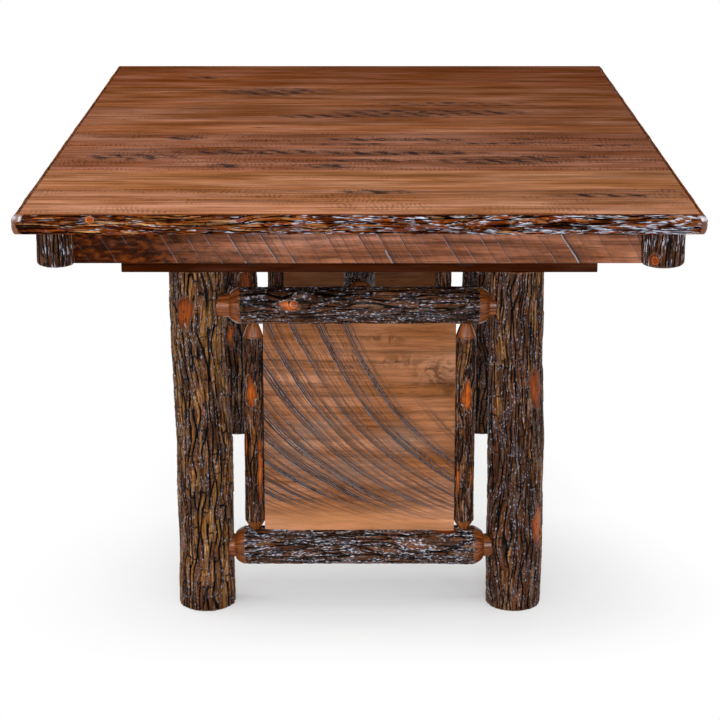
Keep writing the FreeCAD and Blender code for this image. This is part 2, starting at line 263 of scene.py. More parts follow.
def scatter(cells, salt):
    """Repeatable numbers from 0 to 1, one for each whole-number cell."""
    primes = np.array([73856093, 19349663, 83492791], dtype=np.uint64)
    mixed = cells.astype(np.int64).astype(np.uint64) * primes
    number = mixed[..., 0] ^ mixed[..., 1] ^ mixed[..., 2] ^ np.uint64(salt * 2654435761)
    number = (number ^ (number >> np.uint64(15))) * np.uint64(2246822519)
    number = (number ^ (number >> np.uint64(13))) * np.uint64(3266489917)
    number = number ^ (number >> np.uint64(16))
    return (number & np.uint64(65535)).astype(float) / 65535


def soft_noise(places, salt):
    """Smooth noise from 0 to 1 with about one hump to each unit of length."""
    base = np.floor(places)
    part = places - base
    part = part * part * (3 - 2 * part)
    total = np.zeros(len(places))
    for corner in itertools.product((0, 1), repeat=3):
        weight = np.prod(np.where(np.array(corner) == 1, part, 1 - part), axis=1)
        total += weight * scatter(base + np.array(corner), salt)
    return total


def line_noise(values, lines, salt):
    """Smooth noise from 0 to 1 along each of a row of numbered lines."""
    base = np.floor(values)
    part = values - base
    part = part * part * (3 - 2 * part)
    nothing = np.zeros(len(values))
    first = scatter(np.stack([base, lines, nothing], axis=1), salt)
    second = scatter(np.stack([base + 1, lines, nothing], axis=1), salt)
    return first * (1 - part) + second * part


def staves(across, along, turns, slender, salt):
    """Long strips side by side with wandering edges and broken ends, the way hickory bark splits.

    across counts strips, along counts strip lengths and slender is a strip's length over its width. turns
    is how many strips go round a log, or 0 on a flat face. The answer is how far each place is inside its
    strip, the strip's number and the place's lean across it.
    """
    def numbered(line):
        """The line's own number, the same again after a full turn."""
        return np.mod(line, turns) if turns else line

    def border(line):
        """Where the edge before a strip runs."""
        return line + 0.95 * (line_noise(along * 2.1, numbered(line), salt) - 0.5)

    nothing = np.zeros(len(across))
    column = np.floor(across)
    later = np.where(across >= border(column + 1), column + 1, column)
    column = np.where(across < border(column), column - 1, later)
    low = border(column)
    high = border(column + 1)
    line = numbered(column)
    start = scatter(np.stack([line, nothing, nothing], axis=1), salt + 1)
    run = along * (0.7 + 0.6 * start) + 7.3 * start + 0.6 * line_noise(along * 1.3, line, salt + 2)
    run += 0.06 * (line_noise(across * 3.1, line, salt + 3) - 0.5)
    row = np.floor(run)
    number = scatter(np.stack([line, row, nothing], axis=1), salt + 4)
    edge_line = numbered(np.where(across - low < high - across, column, column + 1))
    opened = ease(line_noise(along * 2.6, edge_line, salt + 5), 0.15, 0.45)
    inside = 1 - (1 - ease(np.minimum(across - low, high - across), 0, 0.34)) * (0.25 + 0.75 * opened)
    tip = np.minimum(run - row, 1 - (run - row)) * slender
    inside = np.minimum(inside, 0.25 + 0.75 * ease(tip, 0.03, 0.3))
    side = 2 * scatter(np.stack([line, row, nothing], axis=1), salt + 6) - 1
    return inside, number, ((across - low) / (high - low) - 0.5) * side


def ease(values, low, high):
    """Runs smoothly from 0 at low to 1 at high."""
    share = np.clip((values - low) / (high - low), 0, 1)
    return share * share * (3 - 2 * share)


# Logs and bark


def log_rings(node, axis, keep=None):
    """The round sections of a CAD log, as (place along it, middle, radius) in rising order."""
    points = node_points(node)
    if keep is not None:
        points = points[keep(points)]
    others = [i for i in range(3) if i != axis]
    rings = []
    for level in np.unique(points[:, axis].round(4)):
        ring = points[np.abs(points[:, axis] - level) < 0.2 * MM]
        low = ring.min(axis=0)
        high = ring.max(axis=0)
        if len(np.unique(ring.round(5), axis=0)) >= 30:
            middle = (low + high) / 2
            middle[axis] = level
            rings.append((level, middle, max(high[i] - low[i] for i in others) / 2))
    return rings


def bark_range(rings):
    """Where the full bark of a turned log starts and ends."""
    largest = max(ring[2] for ring in rings)
    full = [ring[0] for ring in rings if ring[2] > 0.97 * largest]
    return full[0], full[-1]


def swell_shoulders(radii, barks, tenon, bark, amount):
    """Rounds the turned shoulders outwards, from straight cones towards quarter circles."""
    share = np.clip((radii - tenon) / (bark - tenon), 0, 1)
    swollen = tenon + (bark - tenon) * np.sqrt(1 - (1 - share) ** 2)
    shoulder = (barks == 0) & (share > 0) & (share < 1)
    return np.where(shoulder, radii + (swollen - radii) * amount, radii)


# How far out from the middle the rows of a log's flat ends lie
END_SHARES = (0, 0.35, 0.7, 0.93)


def ring_path(rings, bark_start, bark_end, step):
    """Rows from one end of a log to the other: places on the axis, radii and how much of each is bark."""
    middles = []
    radii = []
    barks = []
    first, last = rings[0], rings[-1]
    for share in END_SHARES:
        middles.append(first[1])
        radii.append(first[2] * share)
        barks.append(0)
    for low, high in zip(rings[:-1], rings[1:]):
        inside = high[0] > low[0] > bark_start - MM / 2 and high[0] < bark_end + MM / 2
        run = math.hypot(high[0] - low[0], high[2] - low[2])
        count = max(2, round(run / step))
        for number in range(count + 1):
            share = number / count
            middles.append(low[1] * (1 - share) + high[1] * share)
            radii.append(low[2] * (1 - share) + high[2] * share)
            barks.append(1 if inside else 0)
    for share in reversed(END_SHARES):
        middles.append(last[1])
        radii.append(last[2] * share)
        barks.append(0)
    return np.array(middles), np.array(radii), np.array(barks, dtype=float)


def sheet_grid(columns, rows):
    """A flat grid to be wrapped into shape, with each corner's column and row."""
    deselect_all()
    bpy.ops.mesh.primitive_grid_add(x_subdivisions=columns, y_subdivisions=rows, size=1)
    piece = bpy.context.object
    flat = np.empty(len(piece.data.vertices) * 3)
    piece.data.vertices.foreach_get("co", flat)
    flat = flat.reshape(-1, 3)
    column = np.rint((flat[:, 0] + 0.5) * columns).astype(int)
    row = np.rint((flat[:, 1] + 0.5) * rows).astype(int)
    return piece, column, row


def store(piece, name, values):
    """Keeps one number, or one vector, for each corner of a piece."""
    kind = "FLOAT" if values.ndim == 1 else "FLOAT_VECTOR"
    field = "value" if values.ndim == 1 else "vector"
    made = piece.data.attributes.new(name, kind, "POINT")
    made.data.foreach_set(field, np.ascontiguousarray(values, dtype=np.float32).ravel())


def close_grid(piece):
    """Joins the seams and poles of a wrapped grid, fills its open ends and smooths it."""
    make_active(piece)
    bpy.ops.object.mode_set(mode="EDIT")
    bpy.ops.mesh.select_all(action="SELECT")
    bpy.ops.mesh.remove_doubles(threshold=0.02 * MM)
    bpy.ops.mesh.fill_holes(sides=0)
    bpy.ops.mesh.select_all(action="SELECT")
    bpy.ops.mesh.normals_make_consistent(inside=False)
    bpy.ops.object.mode_set(mode="OBJECT")
    bpy.ops.object.shade_smooth()


def bark_relief(place, pattern):
    """The height of the bark in metres, its colour numbers and the swayed place of each fibre.

    Places are in a log's own frame, and the third coordinate runs along the log. Plates are long strips
    with smaller strips and fibres on each, and they sway from side to side as hickory bark does.
    """
    width = pattern["width"]
    length = pattern["length"]
    depth = pattern["depth"]
    salt = pattern["salt"]
    slow = place / np.array([6 * width, 6 * width, 1.7 * length])
    sway = (soft_noise(slow, salt) - 0.5) * 3.2 * width
    quick = place / np.array([2.2 * width, 2.2 * width, 0.4 * length])
    sway += (soft_noise(quick, salt + 10) - 0.5) * 0.8 * width
    swayed = place.copy()
    swayed[:, 0] += sway
    swayed[:, 1] += sway * 0.8
    turns = round(2 * math.pi * pattern["radius"] / width) if "radius" in pattern else 0
    if turns:
        across = np.mod(np.arctan2(place[:, 1], place[:, 0]) / (2 * math.pi), 1) * turns
    else:
        across = place[:, 0] / width
    across = across + sway / width
    along = place[:, 2] / length
    slender = length / width
    ridge, number, lean = staves(across, along, turns, slender, salt + 20)
    strip, strip_number, strip_lean = staves(across * 2, along * 1.9, turns * 2, slender, salt + 40)
    fibre = soft_noise(swayed / np.array([0.2 * width, 0.2 * width, 0.22 * length]), salt + 60)
    swell = soft_noise(place / np.array([0.06, 0.06, 0.11]), salt + 70) - 0.5
    height = ridge * (0.5 + 0.5 * number) + 0.34 * strip * ridge * (0.4 + 0.6 * strip_number)
    height += 0.22 * (fibre - 0.5) + 0.35 * lean * ridge + 0.14 * strip_lean * ridge
    height = (height - 1.0) * depth + swell * pattern["swell"] + pattern.get("lift", 0)
    shade = np.clip(ridge * (0.5 + 0.5 * strip), 0, 1)
    plate = np.clip(0.6 * number + 0.4 * strip_number, 0, 1)
    drift = soft_noise(place / np.array([0.03, 0.03, 0.16]), salt + 80)
    drift = 0.6 * drift + 0.4 * soft_noise(place / np.array([0.012, 0.012, 0.06]), salt + 90)
    tan = ease(0.62 * drift + 0.38 * strip_number, 1 - pattern["tan"], 1.14 - pattern["tan"]) * ridge
    return height, shade, plate, tan, swayed


def patch_masks(along, angle, radius, patches, place, salt):
    """How bare each place is, how bright its orange is, and how far it lies from a knot."""
    bare = np.zeros(len(along))
    tone = np.zeros(len(along))
    knot = np.full(len(along), 1.0)
    for number, (start, degrees, half_length, half_width, kind) in enumerate(patches):
        round_by = (angle - math.radians(degrees) + math.pi) % (2 * math.pi) - math.pi
        across = round_by * radius
        beside = along - start * MM
        distance = np.hypot(beside / (half_length * MM), across / (half_width * MM))
        ragged = soft_noise(place / np.array([0.006, 0.006, 0.02]), salt + number) - 0.5
        ragged += 0.6 * soft_noise(place / np.array([0.0025, 0.0025, 0.009]), salt + 20 + number) - 0.3
        shown = 1 - ease(distance + 0.75 * ragged, 0.82, 1.05)
        heart = 1 - ease(distance + 0.5 * ragged, 0.2, 1.0)
        tone = np.where(shown > bare, TONES[kind] * heart, tone)
        bare = np.maximum(bare, shown)
        if kind == "knot":
            ring = np.hypot(beside, across)
            knot = np.where(distance < 1.2, np.minimum(knot, ring), knot)
    return bare, tone, knot


def make_log(rings, axis, bark, pattern, patches, foot_round=0.0):
    """A bark-on log through CAD rings, with turned or sawn ends, ready for its name and body.

    bark holds the two places where the bark ends. Its relief and bare patches are moved in code, because no
    modifier gives interlaced plates that stop at the turned shoulders.
    """
    step = pattern["step"]
    middles, radii, barks = ring_path(rings, bark[0], bark[1], step)
    if "shoulder" in pattern:
        radii = swell_shoulders(radii, barks, rings[0][2], max(ring[2] for ring in rings),
                                pattern["shoulder"])
    if foot_round:
        rise = np.clip(middles[:, axis] - rings[0][0], 0, foot_round)
        radii = radii - (foot_round - np.sqrt(foot_round ** 2 - (foot_round - rise) ** 2))
        radii = np.maximum(radii, 0)
    columns = max(24, round(2 * math.pi * max(ring[2] for ring in rings) / step))
    piece, column, row = sheet_grid(columns, len(radii) - 1)
    angle = column / columns * 2 * math.pi
    first, second = (np.array(vector) for vector in SIDE_VECTORS[axis])
    outward = np.outer(np.cos(angle), first) + np.outer(np.sin(angle), second)
    along = middles[row, axis]
    radius = radii[row]
    body_radius = pattern["radius"]
    place = np.stack([np.cos(angle) * body_radius, np.sin(angle) * body_radius, along], axis=1)
    height, shade, plate, tan, swayed = bark_relief(place, pattern)
    bare, tone, knot = patch_masks(along, angle, body_radius, patches, place, pattern["salt"] + 100)
    height = height * (1 - bare) - bare * 0.7 * pattern["depth"]
    edge = np.minimum(along - bark[0], bark[1] - along)
    height *= barks[row] * ease(edge, -1 * MM, 2 * MM)
    rim = (1 - ease(edge, 0, 3 * MM)) * barks[row]
    turned = 1 - barks[row]
    shape = middles[row] + outward * (radius + height)[:, None]
    piece.data.vertices.foreach_set("co", shape.ravel())
    store(piece, "ridge", np.maximum(np.maximum(shade, bare), turned))
    store(piece, "plate", np.where(turned > 0, 0.0, np.where(np.maximum(bare, rim) > 0.02, 1.0, plate)))
    store(piece, "tan", np.where(rim > 0.02, 0.7, tan * (1 - bare) + tone * bare))
    store(piece, "bare", np.maximum(np.maximum(bare, turned), 0.8 * rim))
    store(piece, "knot", knot)
    store(piece, "place", swayed)
    close_grid(piece)
    return piece


# Materials

# What the word after a node's type chooses
NODE_CHOICES = {"Math": "operation", "VectorMath": "operation", "Mix": "data_type", "TexVoronoi": "feature",
                "TexNoise": "noise_dimensions", "TexWhiteNoise": "noise_dimensions"}
# Distance between the rings of a knot
KNOT_RING = 4.8 * MM
# How the stain's strokes lean on the boards, and how far apart they are
STAIN_LEAN = (0.8, 0.6, 0)
STAIN_SPACING = 36 * MM
# The circular saw that cut the panels: its radius, the height of its centre, the feed between two strokes
# and where along the board the first stroke lies
SAW_RADIUS = 600 * MM
SAW_HEIGHT = 739 * MM
SAW_FEED = 45.5 * MM
SAW_START = 480 * MM
# Ramps over one stroke of that saw: its lines painted bright as highlights, its gouges darkened as painted
# shade, and the brown painted shadow between them
SAW_GLINT_LINES = ((0.0, 0.1), (0.02, 1), (0.04, 0.05), (0.1, 0), (0.12, 0.8), (0.14, 0), (0.22, 0.05),
             (0.24, 0.9), (0.26, 0.05), (0.34, 0), (0.36, 0.7), (0.38, 0), (0.66, 0), (0.68, 0.9), (0.7, 0))
SAW_SHADED_GOUGES = ((0.0, 0.6), (0.03, 0.8), (0.06, 1), (0.2, 0.8), (0.26, 1), (0.34, 0.75), (0.44, 0.4),
              (0.54, 0.1), (0.64, 0.9), (0.72, 0.6), (0.8, 0.1), (0.94, 0.2))
SAW_SHADOW_FILL = ((0.0, 0.3), (0.04, 1), (0.28, 1), (0.4, 0.4), (0.5, 0), (0.62, 0.2), (0.66, 0.8), (0.76, 0.5),
            (0.84, 0))
SAW_THIN_LINES = ((0.0, 0), (0.03, 0.9), (0.06, 0), (0.4, 0), (0.43, 0.7), (0.46, 0), (0.7, 0), (0.72, 0.6),
                  (0.75, 0))
# Soft places on the panels, as (across, height, half width, half height) in metres: a grey haze in the saw
# marks, and a swirl of darker grain near the top
PANEL_HAZE = ((-0.08, 0.325, 0.085, 0.03), (-0.11, 0.285, 0.06, 0.045), (0.072, 0.306, 0.055, 0.042),
              (-0.02, 0.25, 0.12, 0.035))
PANEL_SWIRL = (0.13, 0.428, 0.052, 0.034)
PANEL_FAINT_SWIRLS = ((0.07, 0.447, 0.07, 0.016), (0.155, 0.4, 0.03, 0.026), (0.04, 0.487, 0.06, 0.012))
# Ramps over one stroke of the band saw that cut the aprons: its lines painted as highlights, and its dark
# gouges
BAND_GLINT_LINES = ((0.0, 0), (0.025, 1), (0.055, 0.05), (0.3, 0), (0.315, 0.3), (0.335, 0), (0.6, 0),
              (0.615, 0.15), (0.635, 0))
BAND_GOUGES = ((0.0, 0.5), (0.05, 1), (0.1, 0.9), (0.2, 0.3), (0.33, 0.6), (0.4, 0.15), (0.63, 0.5),
               (0.7, 0.1), (0.93, 0.1))


def add_node(tree, kind, *values, out=None, stops=(), **named):
    """Adds one node and answers with one of its outputs, the first in use unless out says which.

    kind is the node's type, and its operation or the like after a space. The values are numbers, colours or
    outputs of other nodes, and go to the inputs in use, in order. A named value goes to the input of that
    name where the name has a capital, and is a setting of the node otherwise. stops are a ramp's positions,
    each with its colour, or with a number for a grey.
    """
    kind, _, choice = kind.partition(" ")
    made = tree.nodes.new("ShaderNode" + kind)
    if choice:
        setattr(made, NODE_CHOICES[kind], choice)
    inputs = list(zip([socket for socket in made.inputs if socket.enabled], values))
    for name, value in named.items():
        if name[0].isupper():
            inputs.append((made.inputs[name], value))
        else:
            setattr(made, name, value)
    for socket, value in inputs:
        if isinstance(value, bpy.types.NodeSocket):
            tree.links.new(value, socket)
        else:
            socket.default_value = value
    if stops:
        ramp = made.color_ramp
        while len(ramp.elements) < len(stops):
            ramp.elements.new(0.5)
        for element, (position, colour) in zip(ramp.elements, stops):
            element.position = position
            element.color = (colour, colour, colour, 1) if isinstance(colour, (int, float)) else colour
    if out is not None:
        return made.outputs[out]
    return next(socket for socket in made.outputs if socket.enabled)


def empty_material(name, specular):
    """A material with its shader and the strength of its lacquer's reflections."""
    material = bpy.data.materials.new(name)
    material.use_nodes = True
    tree = material.node_tree
    shader = tree.nodes["Principled BSDF"]
    shader.inputs["IOR"].default_value = 1.5
    shader.inputs["Specular IOR Level"].default_value = specular
    return material, tree, shader


def bark_material(name, dark, mid, rust, pale, painted_glint=0.6, painted_glint_length=5 * MM, specular=0.06, drift=0.0,
                  gloss=0.0, crest_end=1.02):
    """Hickory bark under gloss lacquer: dark interlaced plates, golden splits and orange bare wood.

    The plates, furrows and bare places come from the mesh, and the shader adds their strips and fibres. The
    low roughness gives sharp glints. Cold specks are painted in as lacquer glints, in dotted lines along
    the ridges, and a cold violet gloss is painted over smooth plates: painted_glint is how strong both are,
    and drift how much more specks there are for each metre along the piece. gloss is how white the painted
    highlight on bare corners is, and crest_end how far up a plate its specks reach.
    """
    bark = settings().bark
    material, tree, shader = empty_material(name, specular)
    add = functools.partial(add_node, tree)
    place = add("Attribute", attribute_name="place", out="Vector")
    fields = ("ridge", "plate", "tan", "bare", "knot")
    ridge, plate, tan, bare, knot = (add("Attribute", attribute_name=field, out="Fac") for field in fields)

    def stretched(width, length):
        """The place scaled so that a pattern has one width round the log and one length along it."""
        return add("VectorMath MULTIPLY", place, (1 / width, 1 / width, 1 / length))

    # Fibres, the strips they lie in, and the clouds that move the colour, the painted cold gloss and the
    # grain
    fibre_place = stretched(bark.fibre_width, bark.fibre_length)
    fibre = add("TexNoise", fibre_place, Scale=1, Detail=3, Roughness=0.6)
    strip_place = stretched(2.6 * bark.fibre_width, 2 * bark.fibre_length)
    gap = add("TexVoronoi DISTANCE_TO_EDGE", strip_place, Scale=1)
    strip = add("SeparateColor", add("TexVoronoi", strip_place, Scale=1, out="Color"))
    cloud = add("TexNoise", stretched(17 * MM, 70 * MM), Scale=1, Detail=2)
    zone = add("TexNoise", stretched(30 * MM, 150 * MM), Scale=1, Detail=3, Roughness=0.6)
    painted_sheen = add("TexNoise", stretched(8 * MM, 34 * MM), Scale=1, Detail=2)
    grain = add("TexNoise", stretched(3 * MM, 36 * MM), Scale=1, Detail=4, Roughness=0.65)

    # Plates from dark stain to weathered bark and golden splits, then painted shade darkens the furrows and
    # the gaps between strips, and random zones darken too
    spread = add("Math MULTIPLY_ADD", plate, 0.45, add("Math MULTIPLY", strip, 0.3))
    spread = add("Math MULTIPLY_ADD", fibre, 0.35, spread)
    spread = add("Math MULTIPLY_ADD", cloud, 0.5, spread)
    spread = add("MapRange", spread, 0.35, 1.25)
    bark_colour = add("ValToRGB", spread, stops=((0.1, dark), (0.36, mid), (0.56, rust), (0.86, pale)))
    gold = add("Math MULTIPLY_ADD", strip, 0.4, fibre)
    gold = add("ValToRGB", gold, stops=((0.45, bark.plate_rust), (0.9, bark.tan)))
    bark_colour = add("Mix RGBA", tan, bark_colour, gold)
    lit = add("Math MULTIPLY", add("MapRange", ridge, 0.28, 0.95), add("MapRange", gap, 0.01, 0.1, 0.45, 1))
    lit = add("Math MULTIPLY", lit, add("MapRange", zone, 0.34, 0.6, 0.4, 1))
    bark_colour = add("Mix RGBA", lit, bark.furrow, bark_colour)

    # Painted highlights of the lacquer: a soft cold gloss painted over smooth plates, and glint specks
    # painted in dotted lines along the crests
    painted_sheen_share = add("Math MULTIPLY", add("MapRange", painted_sheen, 0.55, 0.72), 0.45 * min(painted_glint, 1))
    bark_colour = add("Mix RGBA", painted_sheen_share, bark_colour, bark.painted_sheen)
    painted_glint_dots = add("TexNoise", stretched(1.9 * MM, painted_glint_length), Scale=1, Detail=1)
    if drift:
        painted_glint_dots = add("Math MULTIPLY_ADD", add("SeparateXYZ", place, out=2), drift, painted_glint_dots)
    crest_top = add("MapRange", ridge, crest_end, crest_end - 0.12)
    crest = add("Math MULTIPLY", add("MapRange", ridge, 0.25, 0.5), crest_top)
    crest = add("Math MULTIPLY", crest, add("MapRange", painted_sheen, 0.42, 0.56))
    painted_glint_dots = add("MapRange", painted_glint_dots, 0.64 - 0.08 * painted_glint, 0.72 - 0.08 * painted_glint)
    painted_glint_dots = add("Math MULTIPLY", add("Math MULTIPLY", painted_glint_dots, crest), min(painted_glint, 1))
    bark_colour = add("Mix RGBA", painted_glint_dots, bark_colour, bark.painted_glint)

    # Turned shoulders, and peeled places from rust red to vivid orange, with pocks and a knot's rings
    turned = add("Math MULTIPLY_ADD", zone, 0.7, grain)
    turned = add("ValToRGB", turned, stops=((0.66, bark.turned_dark), (1.05, bark.turned_pale)))
    peeled = add("ValToRGB", grain, stops=((0.36, bark.debarked_dark), (0.74, bark.debarked_pale)))
    vivid = add("ValToRGB", grain, stops=((0.34, bark.debarked_pale), (0.64, bark.vivid)))
    peeled = add("Mix RGBA", tan, peeled, vivid)
    pocks = add("TexVoronoi", stretched(11 * MM, 13 * MM), Scale=1)
    peeled = add("Mix RGBA", add("MapRange", pocks, 0.12, 0.2), bark.furrow, peeled)
    bare_colour = add("Mix RGBA", plate, turned, peeled)
    rings = add("Math SINE", add("Math MULTIPLY", knot, 2 * math.pi / KNOT_RING))
    rings = add("Math MULTIPLY", rings, add("MapRange", knot, 12 * MM, 15 * MM, 0.6, 0))
    heart = add("MapRange", knot, 1.4 * MM, 2.6 * MM, 0.3, 1)
    rings = add("Math MULTIPLY", add("Math ADD", rings, 1), heart)
    rings = add("Math MULTIPLY", rings, add("MapRange", bare, 0.5, 0.98, 0.3, 1))
    bare_colour = add("VectorMath SCALE", bare_colour, rings)
    colour = add("Mix RGBA", bare, bark_colour, bare_colour)
    # Painted highlight: a cold white highlight painted on the upper part of the sanded corners, as strong
    # as gloss says
    if gloss:
        painted_highlight = add("Attribute", attribute_name="painted_highlight", out="Fac")
        colour = add("Mix RGBA", add("Math MULTIPLY", painted_highlight, gloss), colour, hex_colour("#e3e6f2"))
    tree.links.new(colour, shader.inputs["Base Color"])

    # Bark glints in specks, turned wood shines softly, and peeled wood is nearly dull
    rough = add("Mix FLOAT", bare, add("MapRange", fibre, 0.35, 0.65, 0.09, 0.26), 0.26)
    tree.links.new(rough, shader.inputs["Roughness"])
    peeled_share = add("Math MULTIPLY", bare, plate)
    level = add("MapRange", bare, 0, 1, specular, 4 * specular)
    level = add("MapRange", peeled_share, 0.27, 0.34, level, 0.5)
    level = add("MapRange", peeled_share, 0.5, 0.9, level, 0.1)
    tree.links.new(level, shader.inputs["Specular IOR Level"])
    relief = add("Math MULTIPLY_ADD", fibre, 0.5, add("MapRange", gap, 0, 0.3))
    depth = add("MapRange", bare, 0, 1, 1.0, 0.06)
    bump = add("Bump", Strength=depth, Distance=1.3 * MM, Height=relief)
    tree.links.new(bump, shader.inputs["Normal"])
    return material


def sawn_material(name, grain_axis, tone, salt, marks=None, curl=0.3, specular=0.0, contrast=1.2):
    """Sawn and stained hardwood under satin lacquer, with streaks, pores and curly figure along its grain.

    marks draws on the wood, such as saw lines or stain. curl is how much of the surface shows curly figure.
    """
    sawn = settings().sawn
    material, tree, shader = empty_material(name, specular)
    add = functools.partial(add_node, tree)
    raw = add("TexCoord", out="Object")
    shifted = add("Mapping", raw, Location=(salt * 1.37, salt * 0.73, salt * 0.41))
    wood = WoodNodes(add, raw, shifted, grain_axis)

    # Streaks that wander, fine lines, slow clouds and open pores, all along the grain
    bend = add("TexNoise", wood.stretched(340 * MM, 100 * MM), Scale=1, Detail=1, out="Color")
    bend = add("VectorMath SCALE", bend, 1.8)
    streak_place = add("VectorMath ADD", wood.stretched(sawn.streak_length, sawn.streak_width), bend)
    streak = add("TexNoise", streak_place, Scale=1, Detail=6, Roughness=0.68)
    fine = wood.grain(60 * MM, 1.4 * MM, 2)
    cloud = wood.grain(210 * MM, 45 * MM, 3)
    pore = wood.grain(sawn.pore_length, sawn.pore_width, 1)
    shade = add("MapRange", streak, 0.3, 0.7, 1 - 0.5 * contrast, 1 + 0.45 * contrast)
    for pattern, low, high, darkest, palest in (
            (fine, 0.25, 0.75, 0.86, 1.12),
            (cloud, 0.3, 0.7, 1 - 0.32 * contrast, 1 + 0.2 * contrast),
            (pore, 0.3, 0.38, 0.62, 1.0)):
        shade = add("Math MULTIPLY", shade, add("MapRange", pattern, low, high, darkest, palest))
    if curl:
        shade = add("Math MULTIPLY", shade, wood.curly(curl))
    warm = add("MapRange", cloud, 0.35, 0.7, 1.05, 0.88)
    colour = add("HueSaturation", Saturation=warm, Color=tone)
    height = add("Math ADD", streak, fine)
    if marks:
        colour, shade, height = marks(wood, colour, shade, height)
    colour = add("VectorMath SCALE", colour, shade)
    for share, over in wood.drawn:
        colour = add("Mix RGBA", share, colour, over)
    tree.links.new(colour, shader.inputs["Base Color"])
    tree.links.new(add("MapRange", streak, 0.3, 0.7, 0.62, 0.46), shader.inputs["Roughness"])
    bump = add("Bump", Strength=0.35, Distance=0.35 * MM, Height=height)
    tree.links.new(bump, shader.inputs["Normal"])
    return material


class WoodNodes:
    """What one wood material's patterns share: place, direction of the grain and what is drawn on it."""

    def __init__(self, add, raw, place, grain_axis):
        self.add = add
        self.raw = raw
        self.place = place
        self.grain_axis = grain_axis
        self.drawn = []

    def stretched(self, length, width):
        """The place scaled so that a pattern is one length along the grain and one width across it."""
        scale = [1 / width] * 3
        scale[self.grain_axis] = 1 / length
        return self.add("VectorMath MULTIPLY", self.place, scale)

    def grain(self, length, width, detail):
        """A cloudy pattern of one length along the grain and one width across it."""
        return self.add("TexNoise", self.stretched(length, width), Scale=1, Detail=detail)

    def curly(self, curl):
        """Brightness of curly figure: short strokes across the grain, in rows that lean to either side."""
        add = self.add
        row_width = 80 * MM
        stroke_spacing = 8.5 * MM
        split = add("SeparateXYZ", self.place).node.outputs
        along = split[self.grain_axis]
        across = split[1 if self.grain_axis == 0 else 0]
        bend = add("Math MULTIPLY_ADD", self.grain(130 * MM, 90 * MM, 1), 0.05, across)
        row = add("Math MULTIPLY", bend, 1 / row_width)
        side = add("TexWhiteNoise 1D", add("Math FLOOR", row))
        inside = add("Math SUBTRACT", add("Math FRACT", row), 0.5)
        lean = add("Math MULTIPLY", add("MapRange", side, 0, 1, -0.022, 0.022), inside)
        sway = add("Math MULTIPLY_ADD", self.grain(40 * MM, 50 * MM, 3), 0.034, lean)
        stroke = add("Math MULTIPLY", add("Math ADD", along, sway), 2 * math.pi / stroke_spacing)
        stroke = add("MapRange", add("Math SINE", stroke), -0.6, 0.9)
        first = 0.7 - 0.32 * curl
        where = add("MapRange", self.grain(140 * MM, 60 * MM, 4), first, first + 0.1, 0, 0.38)
        broken = add("MapRange", self.grain(20 * MM, 35 * MM, 2), 0.34, 0.54)
        where = add("Math MULTIPLY", where, broken)
        where = add("Math MULTIPLY", where, add("MapRange", add("Math ABSOLUTE", inside), 0.5, 0.38))
        return add("Math SUBTRACT", 1.08, add("Math MULTIPLY", stroke, where))

    def spot(self, x, y, half_x, half_y):
        """A soft oval mark on the board, in millimetres from the table's middle."""
        shape = self.add("Mapping", self.raw, Location=(-x / half_x, -y / half_y, 0),
                         Scale=(1 / MM / half_x, 1 / MM / half_y, 0))
        return self.add("MapRange", self.add("VectorMath LENGTH", shape), 1.0, 0.45)

    def spot_at(self, x, z, half_x, half_z):
        """A soft oval mark on an upright panel, in metres."""
        shape = self.add("Mapping", self.raw, Location=(-x / half_x, 0, -z / half_z),
                         Scale=(1 / half_x, 0, 1 / half_z))
        return self.add("MapRange", self.add("VectorMath LENGTH", shape), 1.0, 0.2)


def saw_stains(spots, amount, seams):
    """Blue-black stain in slanted feathered strokes, at the given spots and thinly elsewhere.

    seams is the two places along Y of the board's edges, where a thin orange line is painted as a
    highlight.
    """
    def draw(wood, colour, shade, height):
        """Lays the stain and the seams' painted highlight over the board's colour."""
        add = wood.add
        slant = add("VectorMath DOT_PRODUCT", wood.raw, STAIN_LEAN)
        slant = add("Math MULTIPLY_ADD", wood.grain(50 * MM, 20 * MM, 2), 0.04, slant)
        stroke = add("Math SINE", add("Math MULTIPLY", slant, 2 * math.pi / STAIN_SPACING))
        stroke = add("MapRange", stroke, -0.4, 0.7)
        feather = wood.grain(20 * MM, 6 * MM, 4)
        blot = wood.grain(150 * MM, 30 * MM, 4)
        deep = add("MapRange", blot, 0.7 - 0.1 * amount, 0.8 - 0.1 * amount, 0, 0.7)
        for spot in spots:
            deep = add("Math MAXIMUM", deep, wood.spot(*spot))
        soft = add("Math MULTIPLY", deep, 0.6)
        soft = add("Math MULTIPLY", soft, add("MapRange", feather, 0.36, 0.6))
        deep = add("Math MULTIPLY", deep, add("Math MULTIPLY_ADD", stroke, 0.85, 0.15))
        deep = add("Math MULTIPLY", deep, add("MapRange", feather, 0.37, 0.51))
        wood.drawn.append((soft, hex_colour("#46332a")))
        wood.drawn.append((add("Math MULTIPLY", deep, 0.95), settings().sawn.stain))
        # Painted highlight: a thin orange line along the board's edges, as if they caught the light, broken
        # up along its length
        across = add("SeparateXYZ", wood.raw, out=1)
        middle = (seams[0] + seams[1]) / 2
        half = (seams[1] - seams[0]) / 2
        beside = add("Math ABSOLUTE", add("Math SUBTRACT", across, middle))
        line = add("MapRange", beside, half - 3.5 * MM, half - 2 * MM, 0, 0.5)
        seam_glint_breaks = add("MapRange", wood.grain(120 * MM, 30 * MM, 2), 0.4, 0.6, 0.2, 1)
        wood.drawn.append((add("Math MULTIPLY", line, seam_glint_breaks), hex_colour("#b8662c")))
        return colour, shade, height
    return draw


